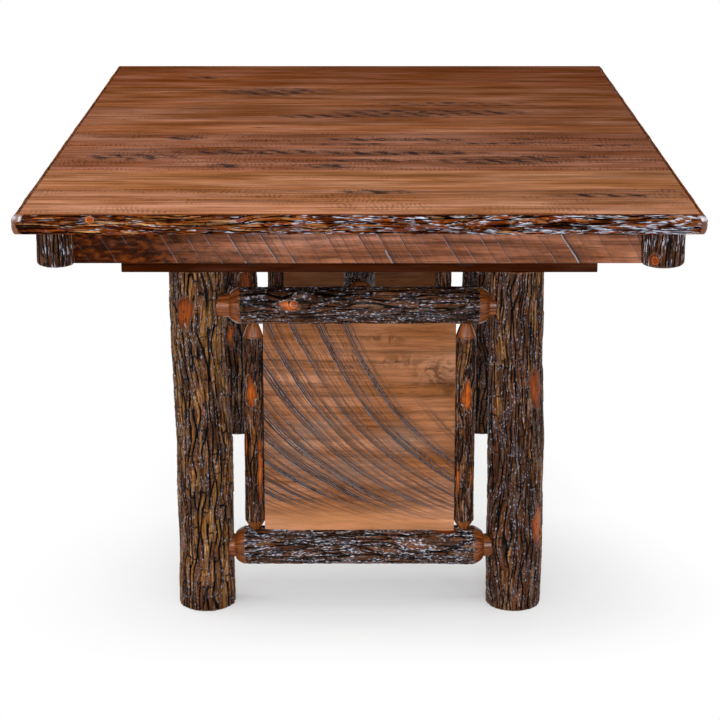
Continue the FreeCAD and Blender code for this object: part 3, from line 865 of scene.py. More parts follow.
def arc_marks(wood, colour, shade, height):
    """Curved marks of a big circular saw whose centre moved along the board between strokes.

    Each mark is one circle shifted along the board: fine lines painted bright as highlights, with dark
    gouges between them whose colour is painted shade, and a brown painted shadow beside them.
    """
    add = wood.add
    x, y, z = add("SeparateXYZ", wood.raw).node.outputs

    # Where the saw's centre was when it cut each place, in strokes from the first one
    below = add("Math SUBTRACT", SAW_HEIGHT, z)
    chord = add("Math SUBTRACT", SAW_RADIUS ** 2, add("Math MULTIPLY", below, below))
    centre = add("Math ADD", x, add("Math SQRT", add("Math MAXIMUM", chord, 0.0001)))
    wander = add("TexNoise", wood.raw, Scale=5, Detail=1)
    centre = add("Math MULTIPLY_ADD", wander, 0.02, add("Math SUBTRACT", centre, 0.01))
    turns = add("Math MULTIPLY", add("Math SUBTRACT", centre, SAW_START), 1 / SAW_FEED)
    jitter = add("TexNoise", wood.raw, Scale=60, Detail=3, Roughness=0.6)
    turns = add("Math MULTIPLY_ADD", jitter, 0.12, turns)
    whole = add("Math FLOOR", turns)
    uneven = add("TexWhiteNoise 1D", add("Math ADD", whole, 0.5))
    uneven = add("MapRange", uneven, 0, 1, 0.72, 1.7)
    phase = add("Math MULTIPLY", add("Math FRACT", turns), uneven)
    lines = add("ValToRGB", phase, stops=SAW_GLINT_LINES)
    gouge = add("ValToRGB", phase, stops=SAW_SHADED_GOUGES)

    # Noise that runs along the strokes: slow fading, fine scratches and short dashes
    fade_place = add("CombineXYZ", add("Math MULTIPLY", turns, 3.1), add("Math MULTIPLY", z, 11))
    fade = add("TexNoise", fade_place, Scale=1, Detail=2)
    fade = add("MapRange", fade, 0.38, 0.58, 0.12, 1)
    deep = add("Math MULTIPLY", y, 7)
    scratch_place = add("CombineXYZ", add("Math MULTIPLY", turns, 17), add("Math MULTIPLY", z, 15), deep)
    scratch = add("TexNoise", scratch_place, Scale=1, Detail=4, Roughness=0.7)
    dash_place = add("CombineXYZ", add("Math MULTIPLY", turns, 12), add("Math MULTIPLY", z, 210), deep)
    dash = add("TexNoise", dash_place, Scale=1, Detail=2)

    # The zone of the marks: the board's low left half and one low strip on the right, on the outer face
    strength = add("MapRange", add("TexWhiteNoise 1D", whole), 0, 1, 0.7, 1.1)
    edge = add("MapRange", centre, 0.535, 0.56, 1, 0)
    strip = add("MapRange", centre, 0.575, 0.58, 0, 0.6)
    strip = add("Math MULTIPLY", add("MapRange", z, 0.4, 0.34), strip)
    strip = add("Math MULTIPLY", strip, add("MapRange", centre, 0.592, 0.597, 1, 0))
    edge = add("Math MAXIMUM", edge, strip)
    foot_z = add("Math MULTIPLY_ADD", wander, 0.05, add("Math MULTIPLY_ADD", phase, 0.02, z))
    foot = add("MapRange", foot_z, 0.2, 0.235)
    outer = add("MapRange", add("Math ABSOLUTE", y), 0.494, 0.5)
    strength = add("Math MULTIPLY", strength, outer)
    zone = add("Math MULTIPLY", add("Math MULTIPLY", edge, foot), strength)
    patch = add("TexNoise", wood.raw, Scale=16, Detail=4, Roughness=0.7)
    patch = add("MapRange", patch, 0.3, 0.5, 0.7, 1)

    # What is drawn, from the palest to the brightest mark
    wood.drawn.append((add("MapRange", z, 0.2, 0.16, 0, 0.4), hex_colour("#bd8a66")))
    thin = add("Math FRACT", add("Math MULTIPLY", turns, 1.37))
    thin = add("ValToRGB", thin, stops=SAW_THIN_LINES)
    thin = add("Math MAXIMUM", thin, add("MapRange", scratch, 0.5, 0.62))
    broken = add("MapRange", dash, 0.4, 0.55, 0.25, 0.9)
    thin = add("Math MULTIPLY", add("Math MULTIPLY", thin, zone), broken)
    wood.drawn.append((thin, hex_colour("#4a2b1b")))
    # Painted shadow: a brown band beside the strokes
    painted_shadow_fill = add("ValToRGB", phase, stops=SAW_SHADOW_FILL)
    lower = add("MapRange", z, 0.38, 0.3, 0.5, 0.75)
    painted_shadow_fill = add("Math MULTIPLY", add("Math MULTIPLY", painted_shadow_fill, zone), lower)
    wood.drawn.append((add("Math MULTIPLY", painted_shadow_fill, patch), hex_colour("#644838")))
    haze = wood.spot_at(*PANEL_HAZE[0])
    for place in PANEL_HAZE[1:]:
        haze = add("Math MAXIMUM", haze, wood.spot_at(*place))
    broken = add("MapRange", scratch, 0.35, 0.55, 0.1, 0.75)
    haze = add("Math MULTIPLY", add("Math MULTIPLY", haze, zone), broken)
    wood.drawn.append((haze, hex_colour("#78665c")))
    # Painted shade in the gouges, which the bump also sinks
    broken = add("MapRange", scratch, 0.37, 0.49, 0.3, 1.1)
    dark = add("Math MULTIPLY", add("Math MULTIPLY", gouge, zone), broken)
    faded = add("MapRange", fade, 0.12, 1, 0.7, 1.1)
    dark = add("Math MULTIPLY", add("Math MULTIPLY", dark, patch), faded)
    wood.drawn.append((dark, hex_colour("#2b1b14")))
    # Painted highlights: the bright saw lines, as light caught by the lacquer
    broken = add("MapRange", dash, 0.41, 0.5, 0.12, 1)
    bright = add("Math MULTIPLY", add("Math MULTIPLY", lines, zone), broken)
    bright = add("Math MULTIPLY", add("Math MULTIPLY", bright, patch), fade)
    wood.drawn.append((bright, settings().sawn.painted_saw_glint))

    # Darker swirls near the top, a slow fall in brightness, and painted shade that halves the inner face's
    # brightness
    swirl = wood.spot_at(*PANEL_SWIRL)
    for place in PANEL_FAINT_SWIRLS:
        swirl = add("Math MAXIMUM", swirl, add("Math MULTIPLY", wood.spot_at(*place), 0.7))
    twist = add("TexNoise", wood.raw, Scale=34, Detail=4, Distortion=2.2)
    swirl = add("Math MULTIPLY", swirl, add("MapRange", twist, 0.42, 0.56, 0.1, 1))
    for value, low, high, start, end in (
            (swirl, 0, 0.8, 1, 0.4),
            (add("Math ADD", x, z), 0.1, 0.62, 1.06, 0.86),
            (outer, 0, 1, 0.5, 1),
            (z, 0.155, 0.205, 1.5, 0.97)):
        shade = add("Math MULTIPLY", shade, add("MapRange", value, low, high, start, end))
    sunk = add("Math MULTIPLY", zone, -1.5)
    return colour, shade, add("Math MULTIPLY_ADD", gouge, sunk, height)


def slant_marks(axis, spacing, dark_end=None):
    """Straight slanted marks of a band saw along an apron, as thin grey lines painted as highlights that
    come and go.

    dark_end is a darker wood colour and the two places along X between which it takes over.
    """
    def draw(wood, colour, shade, height):
        """Draws the slanted lines over the wood's colour, sinks them a little and paints a shadow along the
        apron's top.
        """
        add = wood.add
        x, _, z = add("SeparateXYZ", wood.raw).node.outputs
        if dark_end:
            wander = add("Math MULTIPLY_ADD", wood.grain(200 * MM, 30 * MM, 3), 0.5, x)
            share = add("MapRange", wander, dark_end[1] + 0.25, dark_end[2] + 0.25)
            colour = add("Mix RGBA", share, colour, dark_end[0])
        lean = [0, 0, 0.52]
        lean[axis] = 0.86
        place = add("VectorMath DOT_PRODUCT", wood.raw, lean)
        wander = add("TexNoise", wood.raw, Scale=7, Detail=2)
        place = add("Math MULTIPLY_ADD", wander, 0.015, place)
        uneven = add("TexNoise 1D", add("Math MULTIPLY", place, 17), Scale=1, Detail=1)
        place = add("Math MULTIPLY_ADD", uneven, 0.05, place)
        turns = add("Math MULTIPLY", place, 1 / spacing)
        jitter = add("TexNoise", wood.raw, Scale=90, Detail=2)
        turns = add("Math MULTIPLY_ADD", jitter, 0.05, turns)
        phase = add("Math FRACT", turns)
        lines = add("ValToRGB", phase, stops=BAND_GLINT_LINES)
        gouge = add("ValToRGB", phase, stops=BAND_GOUGES)
        strength = add("TexWhiteNoise 1D", add("Math FLOOR", turns))
        patch = add("TexNoise", wood.raw, Scale=24, Detail=4, Roughness=0.75)
        zone = add("MapRange", strength, 0.1, 0.7, 0.4, 1.0)
        if dark_end:
            mottle = wood.grain(14 * MM, 6 * MM, 5)
            rusty = add("Math MULTIPLY", share, add("MapRange", mottle, 0.5, 0.68, 0, 0.5))
            wood.drawn.append((rusty, hex_colour("#7a3c10")))
            black = add("Math MULTIPLY", share, add("MapRange", mottle, 0.5, 0.34, 0, 0.9))
            wood.drawn.append((black, hex_colour("#160a04")))
            zone = add("Math MULTIPLY", zone, add("MapRange", x, -0.36, -0.15, 0.1, 1))
        dark = add("Math MULTIPLY", gouge, add("MapRange", patch, 0.35, 0.58, 0.35, 1.1))
        wood.drawn.append((add("Math MULTIPLY", zone, dark), hex_colour("#2c170b")))
        # Painted highlights: the bright lines, as light caught along the saw marks
        bright = add("Math MULTIPLY", lines, add("MapRange", patch, 0.44, 0.54, 0.1, 1))
        wood.drawn.append((add("Math MULTIPLY", zone, bright), hex_colour("#95929a")))
        # Painted shadow: the apron darkens towards its top, under the edging
        shade = add("Math MULTIPLY", shade, add("MapRange", z, 0.7, 0.728, 1.05, 0.5))
        return colour, shade, add("Math MULTIPLY_ADD", gouge, -1.5, height)
    return draw


def blend(first, second, share):
    """A colour between two others."""
    return [a * (1 - share) + b * share for a, b in zip(first, second)]


def leg_bark():
    """Bark of the thick legs: browner, with golden flecks."""
    bark = settings().bark
    return bark_material("Hickory bark, brown", bark.plate_dark, bark.plate_mid, bark.plate_rust,
                         bark.plate_pale, painted_glint=0.58)


def log_bark():
    """Bark of the top rails: darker and colder, with less gold."""
    bark = settings().bark
    return bark_material("Hickory bark, dark", bark.furrow, blend(bark.plate_dark, bark.plate_mid, 0.45),
                         blend(bark.plate_rust, bark.plate_dark, 0.35),
                         blend(bark.plate_pale, bark.plate_mid, 0.5), painted_glint=0.75, painted_glint_length=6 * MM)


def spindle_bark():
    """Bark of the spindles: smoother, mottled brown and grey, with few painted glint specks."""
    bark = settings().bark
    return bark_material("Hickory bark, smooth", bark.furrow, blend(bark.plate_dark, bark.plate_mid, 0.6),
                         bark.plate_rust, bark.plate_pale, painted_glint=0.42, painted_glint_length=7 * MM)


def low_rail_bark():
    """Bark of the bottom rails: paler than the other thin logs, with many painted cold glint specks."""
    bark = settings().bark
    return bark_material("Hickory bark, sparkling", bark.furrow, bark.plate_mid, bark.plate_rust,
                         bark.plate_pale, painted_glint=1.35, painted_glint_length=6 * MM)


def stub_bark():
    """Bark of the corner stubs: dark, with long cold glints painted down its ridges."""
    bark = settings().bark
    return bark_material("Hickory bark, ridged", bark.furrow, blend(bark.plate_dark, bark.plate_rust, 0.3),
                         blend(bark.plate_rust, bark.plate_dark, 0.3),
                         blend(bark.plate_pale, bark.plate_mid, 0.5), painted_glint=0.85, painted_glint_length=16 * MM)


def edge_bark():
    """Bark of the edging: redder, with pale splits and more painted glints towards its right end."""
    bark = settings().bark
    return bark_material("Hickory bark, edging", bark.plate_dark, hex_colour("#5f280e"),
                         hex_colour("#994612"), hex_colour("#c79a68"), painted_glint=1.6, painted_glint_length=18 * MM,
                         specular=0.0, drift=-0.23, gloss=0.62, crest_end=0.84)


# Operators

# Each studio light's name, place, target, size and power, in metres and watts
LIGHTS = (
    ("overhead softbox", (-1.1, 0.2, 3.1), (0, 0, 0.76), (2.4, 2.4), 57),
    ("left softbox", (-3.0, -2.6, 1.5), (0, 0, 0.5), (0.4, 1.8), 8),
    ("right softbox", (3.2, -2.4, 1.6), (0, 0, 0.5), (0.4, 1.8), 7),
    ("front softbox", (0.3, -4.8, 1.5), (0, 0, 0.4), (1.6, 0.4), 100),
    ("left kicker", (-2.5, 0.2, 2.8), (-0.5, -0.7, 0.75), (0.5, 0.5), 14),
    ("right kicker", (2.4, 0.0, 2.7), (0.5, -0.7, 0.75), (0.5, 0.5), 8),
    ("left strip", (-1.9, -3.4, 1.1), (0, -0.4, 0.4), (0.05, 1.5), 16),
    ("right strip", (2.1, -3.2, 1.2), (0, -0.4, 0.4), (0.05, 1.5), 16),
    ("upper strip", (-0.6, -3.6, 2.4), (0, -0.4, 0.5), (1.8, 0.05), 14),
    ("rear strip", (0.8, 3.6, 1.6), (0, 0.4, 0.4), (1.4, 0.06), 16),
)
# How much of the floor shows pure white, from under the trestles outwards to the edge of the shadow
FLOOR_GLOW = ((0.0, 0.25), (0.1, 0.42), (0.22, 0.57), (0.32, 0.62), (0.5, 0.72), (0.78, 0.9), (1.0, 1))


class HICKORY_OT_stage(bpy.types.Operator):
    """Adds the camera, the studio lights and the pale floor"""

    bl_idname = "hickory.stage"
    bl_label = "Stage"

    def execute(self, context):
        stage = settings().stage
        deselect_all()
        bpy.ops.object.camera_add(location=(1.0 * MM, -stage.camera_distance, stage.camera_height),
                                  rotation=(math.pi / 2 - stage.pitch, 0, 0))
        camera = context.object
        camera.data.lens = stage.lens
        camera.data.sensor_width = 36
        # The picture's middle lies below the lens's, which keeps the uprights nearly parallel
        camera.data.shift_y = -0.1
        camera.data.clip_end = 60
        context.scene.camera = camera
        self.add_floor(stage)
        for light in LIGHTS:
            self.add_light(*light)
        self.set_world(context)
        context.scene.view_settings.view_transform = "Standard"
        return {"FINISHED"}

    def add_floor(self, stage):
        """A round floor that takes shadows near the table and runs out to pure white."""
        bpy.ops.mesh.primitive_circle_add(vertices=96, radius=stage.floor_radius, fill_type="TRIFAN",
                                          location=(0, 0, -0.5 * MM))
        floor = bpy.context.object
        floor.name = "studio_floor"
        material = bpy.data.materials.new("Painted studio floor")
        material.use_nodes = True
        tree = material.node_tree
        paint = tree.nodes["Principled BSDF"]
        paint.inputs["Base Color"].default_value = stage.floor
        paint.inputs["Roughness"].default_value = 0.75
        add = functools.partial(add_node, tree)
        place = add("TexCoord", out="Object")
        across, along, _ = add("SeparateXYZ", place).node.outputs
        # How far a place is beside and before the legs, with the shadow narrower and fainter behind them
        behind = add("Math MAXIMUM", add("Math ADD", along, 420 * MM), 0)
        beside = add("Math MULTIPLY_ADD", behind, 0.2, add("Math ABSOLUTE", across))
        beside = add("Math MAXIMUM", add("Math SUBTRACT", beside, 240 * MM), 0)
        beside = add("Math MULTIPLY", beside, 1 / stage.shade_width)
        ahead = add("Math MAXIMUM", add("Math SUBTRACT", add("Math ABSOLUTE", along), 470 * MM), 0)
        fainter = add("Math MINIMUM", add("Math MULTIPLY", behind, 1.6), 0.6)
        ahead = add("Math MULTIPLY_ADD", ahead, 1 / stage.shade_depth, fainter)
        reach = add("VectorMath LENGTH", add("CombineXYZ", beside, ahead))
        share = add("ValToRGB", reach, stops=FLOOR_GLOW)
        rays = add("LightPath").node.outputs
        seen = add("Math MAXIMUM", rays["Is Camera Ray"], rays["Is Glossy Ray"])
        share = add("Math MULTIPLY", share, seen)
        glow = add("Emission", (1, 1, 1, 1), 1)
        surface = add("MixShader", share, paint.outputs[0], glow)
        tree.links.new(surface, tree.nodes["Material Output"].inputs[0])
        floor.data.materials.append(material)

    def add_light(self, name, place, target, size, power):
        """A soft rectangular light that points at a target."""
        bpy.ops.object.light_add(type="AREA", location=place)
        light = bpy.context.object
        light.name = name
        light.data.shape = "RECTANGLE"
        light.data.size, light.data.size_y = size
        light.data.energy = power
        light.rotation_euler = (Vector(target) - Vector(place)).to_track_quat("-Z", "Y").to_euler()

    def set_world(self, context):
        """A white surround for the camera and glossy rays, and an even pale light for the rest."""
        world = bpy.data.worlds.new("Studio surround")
        context.scene.world = world
        world.use_nodes = True
        tree = world.node_tree
        add = functools.partial(add_node, tree)
        rays = add("LightPath").node.outputs
        seen = add("Math MAXIMUM", rays["Is Camera Ray"], rays["Is Transmission Ray"])
        seen = add("Math MAXIMUM", seen, rays["Is Glossy Ray"])
        strength = add("MapRange", seen, 0, 1, 0.25, 1.0)
        surround = tree.nodes["Background"]
        surround.inputs["Color"].default_value = (1, 1, 1, 1)
        tree.links.new(strength, surround.inputs["Strength"])


class HICKORY_OT_legs(bpy.types.Operator):
    """Makes the four thick legs with ridged bark, a foot rounded by wear and the tenon in the cleat"""

    bl_idname = "hickory.legs"
    bl_label = "Legs"

    # How much of each leg shows golden splits, and how fine its plates are
    looks = {"near_left": (0.62, 1), "near_right": (0.42, 0.78), "far_left": (0.32, 1),
             "far_right": (0.32, 1)}

    def execute(self, context):
        bark = settings().bark
        material = leg_bark()
        for number, (corner, (tan, fine)) in enumerate(self.looks.items()):
            node_name = corner + "_leg"
            rings = log_rings(node_name, 2)
            shoulder, end = rings[-2:]
            rings.insert(-1, (shoulder[0], shoulder[1], end[2]))
            pattern = {"width": fine * bark.plate_width, "length": bark.plate_length,
                       "depth": fine * bark.furrow_depth, "swell": 3 * MM, "tan": tan,
                       "salt": 300 + 17 * number, "step": bark.leg_step, "radius": rings[0][2]}
            piece = make_log(rings, 2, (rings[0][0], shoulder[0]), pattern, LEG_PATCHES[corner],
                             foot_round=4 * MM)
            finish_piece(piece, corner + "_bark_leg", "base", "hickory_bark", material, node_name)
        return {"FINISHED"}


class HICKORY_OT_rails(bpy.types.Operator):
    """Makes the top and bottom rails with bark between their turned shoulders"""

    bl_idname = "hickory.rails"
    bl_label = "Rails"

    def execute(self, context):
        kinds = (("top", TOP_RAIL_PATCHES, log_bark()), ("bottom", BOTTOM_RAIL_PATCHES, low_rail_bark()))
        for number, end_name in enumerate(ENDS):
            for kind, patches, material in kinds:
                node_name = end_name + "_" + kind + "_rail"
                rings = log_rings(node_name, 0)
                pattern = {"width": 6.5 * MM, "length": 70 * MM, "depth": 2.6 * MM, "swell": 1.6 * MM,
                           "tan": 0.16, "salt": 500 + 31 * number + (7 if kind == "top" else 0),
                           "step": 1.6 * MM, "radius": max(ring[2] for ring in rings), "shoulder": 0.6}
                piece = make_log(rings, 0, bark_range(rings), pattern, patches[end_name])
                finish_piece(piece, node_name + "_log", "base", "hickory_bark", material, node_name)
        return {"FINISHED"}


class HICKORY_OT_spindles(bpy.types.Operator):
    """Makes the upright spindles with their long turned cones"""

    bl_idname = "hickory.spindles"
    bl_label = "Spindles"

    def execute(self, context):
        material = spindle_bark()
        for number, end_name in enumerate(ENDS):
            node_name = end_name + "_spindles"
            for side_name, side in SIDES.items():
                corner = end_name + "_" + side_name
                rings = log_rings(node_name, 2, lambda points: points[:, 0] * side > 0)
                pattern = {"width": 5 * MM, "length": 60 * MM, "depth": 1.2 * MM, "swell": 1.6 * MM,
                           "tan": 0.38, "salt": 700 + 13 * number + (5 if side > 0 else 0),
                           "step": 1.4 * MM, "radius": max(ring[2] for ring in rings), "shoulder": 0.25,
                           "lift": 1.1 * MM}
                piece = make_log(rings, 2, bark_range(rings), pattern, SPINDLE_PATCHES[corner])
                finish_piece(piece, corner + "_spindle_log", "base", "hickory_bark", material, node_name)
        return {"FINISHED"}


class HICKORY_OT_stretcher(bpy.types.Operator):
    """Makes the stretcher log between the trestles"""

    bl_idname = "hickory.stretcher"
    bl_label = "Stretcher"

    def execute(self, context):
        rings = log_rings("stretcher", 1)
        pattern = {"width": 7 * MM, "length": 60 * MM, "depth": 2.6 * MM, "swell": 4 * MM, "tan": 0.25,
                   "salt": 900, "step": 2.1 * MM, "radius": max(ring[2] for ring in rings), "shoulder": 0.6}
        patches = ((-200, 40, 30, 10, "bare"), (150, -60, 13, 11, "knot"), (300, 120, 40, 8, "bare"))
        piece = make_log(rings, 1, bark_range(rings), pattern, patches)
        finish_piece(piece, "stretcher_log", "base", "hickory_bark", spindle_bark(), "stretcher")
        return {"FINISHED"}


class HICKORY_OT_corner_stubs(bpy.types.Operator):
    """Makes the short logs under the four corners of the top"""

    bl_idname = "hickory.corner_stubs"
    bl_label = "Corner stubs"

    def execute(self, context):
        material = stub_bark()
        for number, end_name in enumerate(ENDS):
            node_name = end_name + "_corner_stubs"
            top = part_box(node_name)[1][2]
            for side_name, side in SIDES.items():
                corner = end_name + "_" + side_name
                foot = log_rings(node_name, 2, lambda points: points[:, 0] * side > 0)[0]
                head = (top, np.array([foot[1][0], foot[1][1], top]), foot[2])
                pattern = {"width": 6.5 * MM, "length": 130 * MM, "depth": 3.2 * MM, "swell": 1.5 * MM,
                           "tan": 0.15, "salt": 1100 + 19 * number + (8 if side > 0 else 0),
                           "step": 1.5 * MM, "radius": foot[2]}
                patches = [(foot[0] / MM + start, *rest) for start, *rest in STUB_PATCHES[corner]]
                piece = make_log([foot, head], 2, (foot[0], head[0]), pattern, patches, foot_round=8 * MM)
                finish_piece(piece, corner + "_stub_log", end_name + "_half", "hickory_bark", material,
                             node_name)
        return {"FINISHED"}


class HICKORY_OT_edging(bpy.types.Operator):
    """Makes the half-round bark edging round both halves of the top"""

    bl_idname = "hickory.edging"
    bl_label = "Bark edging"

    lip = 5 * MM
    step = 1.8 * MM
    # Where each end strip shows a knot, along the strip
    knots = {"near": 0.421, "far": -0.27}

    def execute(self, context):
        material = edge_bark()
        low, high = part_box("near_board_2")
        half_width = high[0]
        half_length = -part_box("near_board_1")[0][1]
        depth = -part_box("near_end_edging")[0][1] - half_length
        shared = {"top": high[2], "bottom": low[2], "depth": depth,
                  "corner": (half_width + depth, half_length + depth)}
        number = 0
        for end_name, end in ENDS.items():
            body = end_name + "_half"
            strip = dict(shared, out=(0, end, 0), along=(end, 0, 0), edge=half_length, mitre=(1, 1),
                         reach=(half_width, half_width), salt=1300 + 23 * number, knot=self.knots[end_name])
            piece = self.make_strip(strip)
            node_name = end_name + "_end_edging"
            finish_piece(piece, end_name + "_end_bark", body, "hickory_bark", material, node_name)
            number += 1
            for side_name, side in SIDES.items():
                node_name = end_name + "_" + side_name + "_edging"
                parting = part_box(node_name)[1 if end < 0 else 0][1]
                inner = parting * -side
                if side * end < 0:
                    reach, mitre = (-inner, half_length), (0, 1)
                else:
                    reach, mitre = (half_length, inner), (1, 0)
                strip = dict(shared, out=(side, 0, 0), along=(0, -side, 0), edge=half_width, mitre=mitre,
                             reach=reach, salt=1300 + 23 * number, knot=None)
                piece = self.make_strip(strip)
                name = end_name + "_" + side_name + "_bark"
                finish_piece(piece, name, body, "hickory_bark", material, node_name)
                number += 1
        return {"FINISHED"}

    def profile(self, strip):
        """The strip's closed section, as arrays of distance out, height, outward direction and bark."""
        half = (strip["top"] - strip["bottom"]) / 2
        middle = (strip["top"] + strip["bottom"]) / 2
        sagitta = strip["depth"] - self.lip
        radius = (half * half + sagitta * sagitta) / (2 * sagitta)
        swing = math.asin(half / radius)
        points = [(0, half, 0, 0, 0), (0.5 * self.lip, half, 0, 1, 0), (0.9 * self.lip, half, 0, 1, 0)]
        count = round(2 * swing * radius / (1.5 * MM))
        for step in range(count + 1):
            turn = swing * (1 - 2 * step / count)
            out = strip["depth"] - radius + radius * math.cos(turn)
            bark = min(1, 4 * min(step, count - step) / count)
            points.append((out, radius * math.sin(turn), math.cos(turn), math.sin(turn), bark))
        points += [(0.5 * self.lip, -half, 0, -1, 0), (0, -half, 0, 0, 0), (0, half, 0, 0, 0)]
        table = np.array(points)
        table[:, 1] += middle
        return table

    def make_strip(self, strip):
        """One strip of edging along a side, mitred or square at each end."""
        table = self.profile(strip)
        columns = len(table) - 1
        total = strip["reach"][0] + strip["reach"][1]
        rows = round(total / self.step)
        piece, column, row = sheet_grid(columns, rows)
        section = table[columns - column]
        out = section[:, 0]
        start = -strip["reach"][0] - strip["mitre"][0] * out
        end = strip["reach"][1] + strip["mitre"][1] * out
        along = start + (end - start) * row / rows
        steps = np.hypot(np.diff(table[:, 0], prepend=0), np.diff(table[:, 1], prepend=table[0, 1]))
        around = np.cumsum(steps)
        place = np.stack([around[columns - column], np.zeros(len(out)), along], axis=1)
        pattern = {"width": 4.4 * MM, "length": 80 * MM, "depth": 2.1 * MM, "swell": 0.0, "tan": 0.4,
                   "salt": strip["salt"]}
        height, shade, plate, tan, swayed = bark_relief(place, pattern)
        wave = soft_noise(place / np.array([0.08, 0.08, 0.07]), strip["salt"] + 200) - 0.5
        height = height + wave * 4.4 * MM - 1.2 * MM
        bark = section[:, 4]
        smooth = self.sanded_corners(strip, along, out, place)
        lift = height * bark * (1 - smooth)
        flat_along = np.outer(along, np.array(strip["along"]))
        flat_out = np.outer(strip["edge"] + out + section[:, 2] * lift, np.array(strip["out"]))
        shape = flat_along + flat_out
        shape[:, 2] = section[:, 1] + section[:, 3] * lift
        self.round_corner(shape, strip["corner"])
        piece.data.vertices.foreach_set("co", shape.ravel())
        knot = np.full(len(out), 1.0)
        eye = np.zeros(len(out))
        if strip["knot"] is not None:
            knot = np.hypot(along - strip["knot"], place[:, 0] - 0.4 * table[-1, 0] - 14 * MM)
            eye = 1 - ease(knot + (soft_noise(place / 0.003, 77) - 0.5) * 3 * MM, 6 * MM, 8 * MM)
        upper = section[:, 3] > 0
        bare = np.maximum(smooth, np.where(upper, 1 - ease(bark, 0.05, 0.2), 0))
        store(piece, "ridge", np.maximum(shade, bare))
        corner_shine = 0.42 * smooth * ease(section[:, 2], 0.25, 0.6)
        store(piece, "plate", np.where(eye > 0.02, 1.0, np.where(bare > 0.02, corner_shine, plate)))
        store(piece, "tan", np.where(eye > 0.02, 1.0, tan * (1 - bare)))
        store(piece, "bare", np.maximum(bare, eye))
        store(piece, "knot", knot)
        store(piece, "place", swayed)
        # A painted highlight on the upper part of the sanded corners, broken into streaks
        band = ease(section[:, 3], 0.2, 0.42) * (1 - ease(section[:, 3], 0.6, 0.74))
        streak = soft_noise(place / np.array([0.02, 0.02, 0.006]), strip["salt"] + 220)
        store(piece, "painted_highlight", band * ease(smooth, 0.5, 1) * ease(streak, 0.15, 0.5))
        close_grid(piece)
        return piece

    def sanded_corners(self, strip, along, out, place):
        """How far each place lies in the bare, sanded wood at the strip's mitred ends."""
        smooth = np.zeros(len(out))
        for sign, mitre, reach in zip((-1, 1), strip["mitre"], strip["reach"]):
            if mitre:
                beside = (reach + out) - along * sign
                ragged = soft_noise(place / np.array([0.008, 0.01, 0.012]), strip["salt"] + 210) - 0.5
                smooth = np.maximum(smooth, 1 - ease(beside + ragged * 9 * MM, 9 * MM, 15 * MM))
        return smooth

    def round_corner(self, shape, corner):
        """Pulls the strip's corner in to the top's rounded plan."""
        radius = 17 * MM
        for sign_x, sign_y in itertools.product((-1, 1), repeat=2):
            x = shape[:, 0] * sign_x - (corner[0] - radius)
            y = shape[:, 1] * sign_y - (corner[1] - radius)
            reach = np.hypot(x, y)
            beyond = (x > 0) & (y > 0) & (reach > radius)
            shrink = np.where(beyond, radius / np.maximum(reach, 1e-9), 1)
            shape[:, 0] = np.where(beyond, sign_x * (corner[0] - radius + x * shrink), shape[:, 0])
            shape[:, 1] = np.where(beyond, sign_y * (corner[1] - radius + y * shrink), shape[:, 1])


class HICKORY_OT_boards(bpy.types.Operator):
    """Makes the boards of both halves, each with its own tone, grain and saw stain"""

    bl_idname = "hickory.boards"
    bl_label = "Boards"

    # Each board's node, colour, curly figure, thin stain and stained spots. A spot is the millimetres to
    # its middle, across and along the table, and its half sizes.
    boards = (
        ("near_board_1", "#aa7150", 0.7, 0.0, ()),
        ("near_board_2", "#966141", 0.7, 0.1, ((32, -596, 90, 22), (395, -622, 120, 20))),
        ("near_board_3", "#9c6643", 0.2, 0.1, ()),
        ("near_board_4", "#87533a", 1.0, 0.9, (
            (-190, -250, 200, 30), (240, -335, 150, 34), (-235, -380, 40, 26), (-52, -380, 50, 28),
            (-400, -300, 110, 40), (70, -262, 230, 26), (330, -300, 160, 16), (20, -330, 120, 16))),
        ("near_board_5", "#84523a", 0.9, 0.7, (
            (-325, -114, 45, 26), (-16, -176, 90, 20), (468, -190, 90, 12), (60, -130, 200, 22),
            (260, -168, 190, 12))),
        ("near_board_6", "#90593b", 0.2, 0.0, ()),
        ("far_board_1", "#7e4c30", 0.3, 0.7, (
            (150, 158, 260, 48), (90, 150, 180, 60), (-70, 118, 130, 26), (190, 245, 220, 14))),
        ("far_board_2", "#7e4b2e", 0.2, 0.3, ((190, 272, 220, 13), (-176, 410, 150, 66))),
        ("far_board_3", "#744024", 0.1, 0.1, ((-330, 600, 60, 20),)),
    )

    def execute(self, context):
        sawn = settings().sawn
        for number, (node_name, code, curl, stain, spots) in enumerate(self.boards):
            low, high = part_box(node_name)
            marks = saw_stains(spots, stain, (low[1], high[1]))
            # Sawn, stained and satin-lacquered: warm streaks across the table, no glare over the grain
            material = sawn_material("Stained hardwood, board " + str(number + 1), 0, hex_colour(code),
                                     number + 1, marks, curl)
            body = node_name.split("_")[0] + "_half"
            sawn_copy(node_name, node_name + "_stained", body, "sawn_wood", material, sawn.bevel)
        return {"FINISHED"}


class HICKORY_OT_aprons(bpy.types.Operator):
    """Makes the rough-sawn aprons with slanted saw marks"""

    bl_idname = "hickory.aprons"
    bl_label = "Aprons"

    def execute(self, context):
        sawn = settings().sawn
        # Straight from a band saw: strong streaks with slanted strokes, and dark heartwood at one end
        marks = slant_marks(0, 27 * MM, (sawn.apron_dark, -0.05, -0.36))
        cross = sawn_material("Rough-sawn hardwood, end apron", 0, sawn.apron, 21, marks, curl=0.4,
                              specular=0.02, contrast=1.7)
        marks = slant_marks(1, 32 * MM)
        long = sawn_material("Rough-sawn hardwood, side apron", 1, sawn.apron, 22, marks, curl=0.4,
                             specular=0.02, contrast=1.7)
        for end_name in ENDS:
            body = end_name + "_half"
            node_name = end_name + "_end_apron"
            sawn_copy(node_name, node_name + "_sawn", body, "sawn_wood", cross, sawn.bevel)
            for side_name in SIDES:
                node_name = end_name + "_" + side_name + "_apron"
                sawn_copy(node_name, node_name + "_sawn", body, "sawn_wood", long, sawn.bevel)
        return {"FINISHED"}


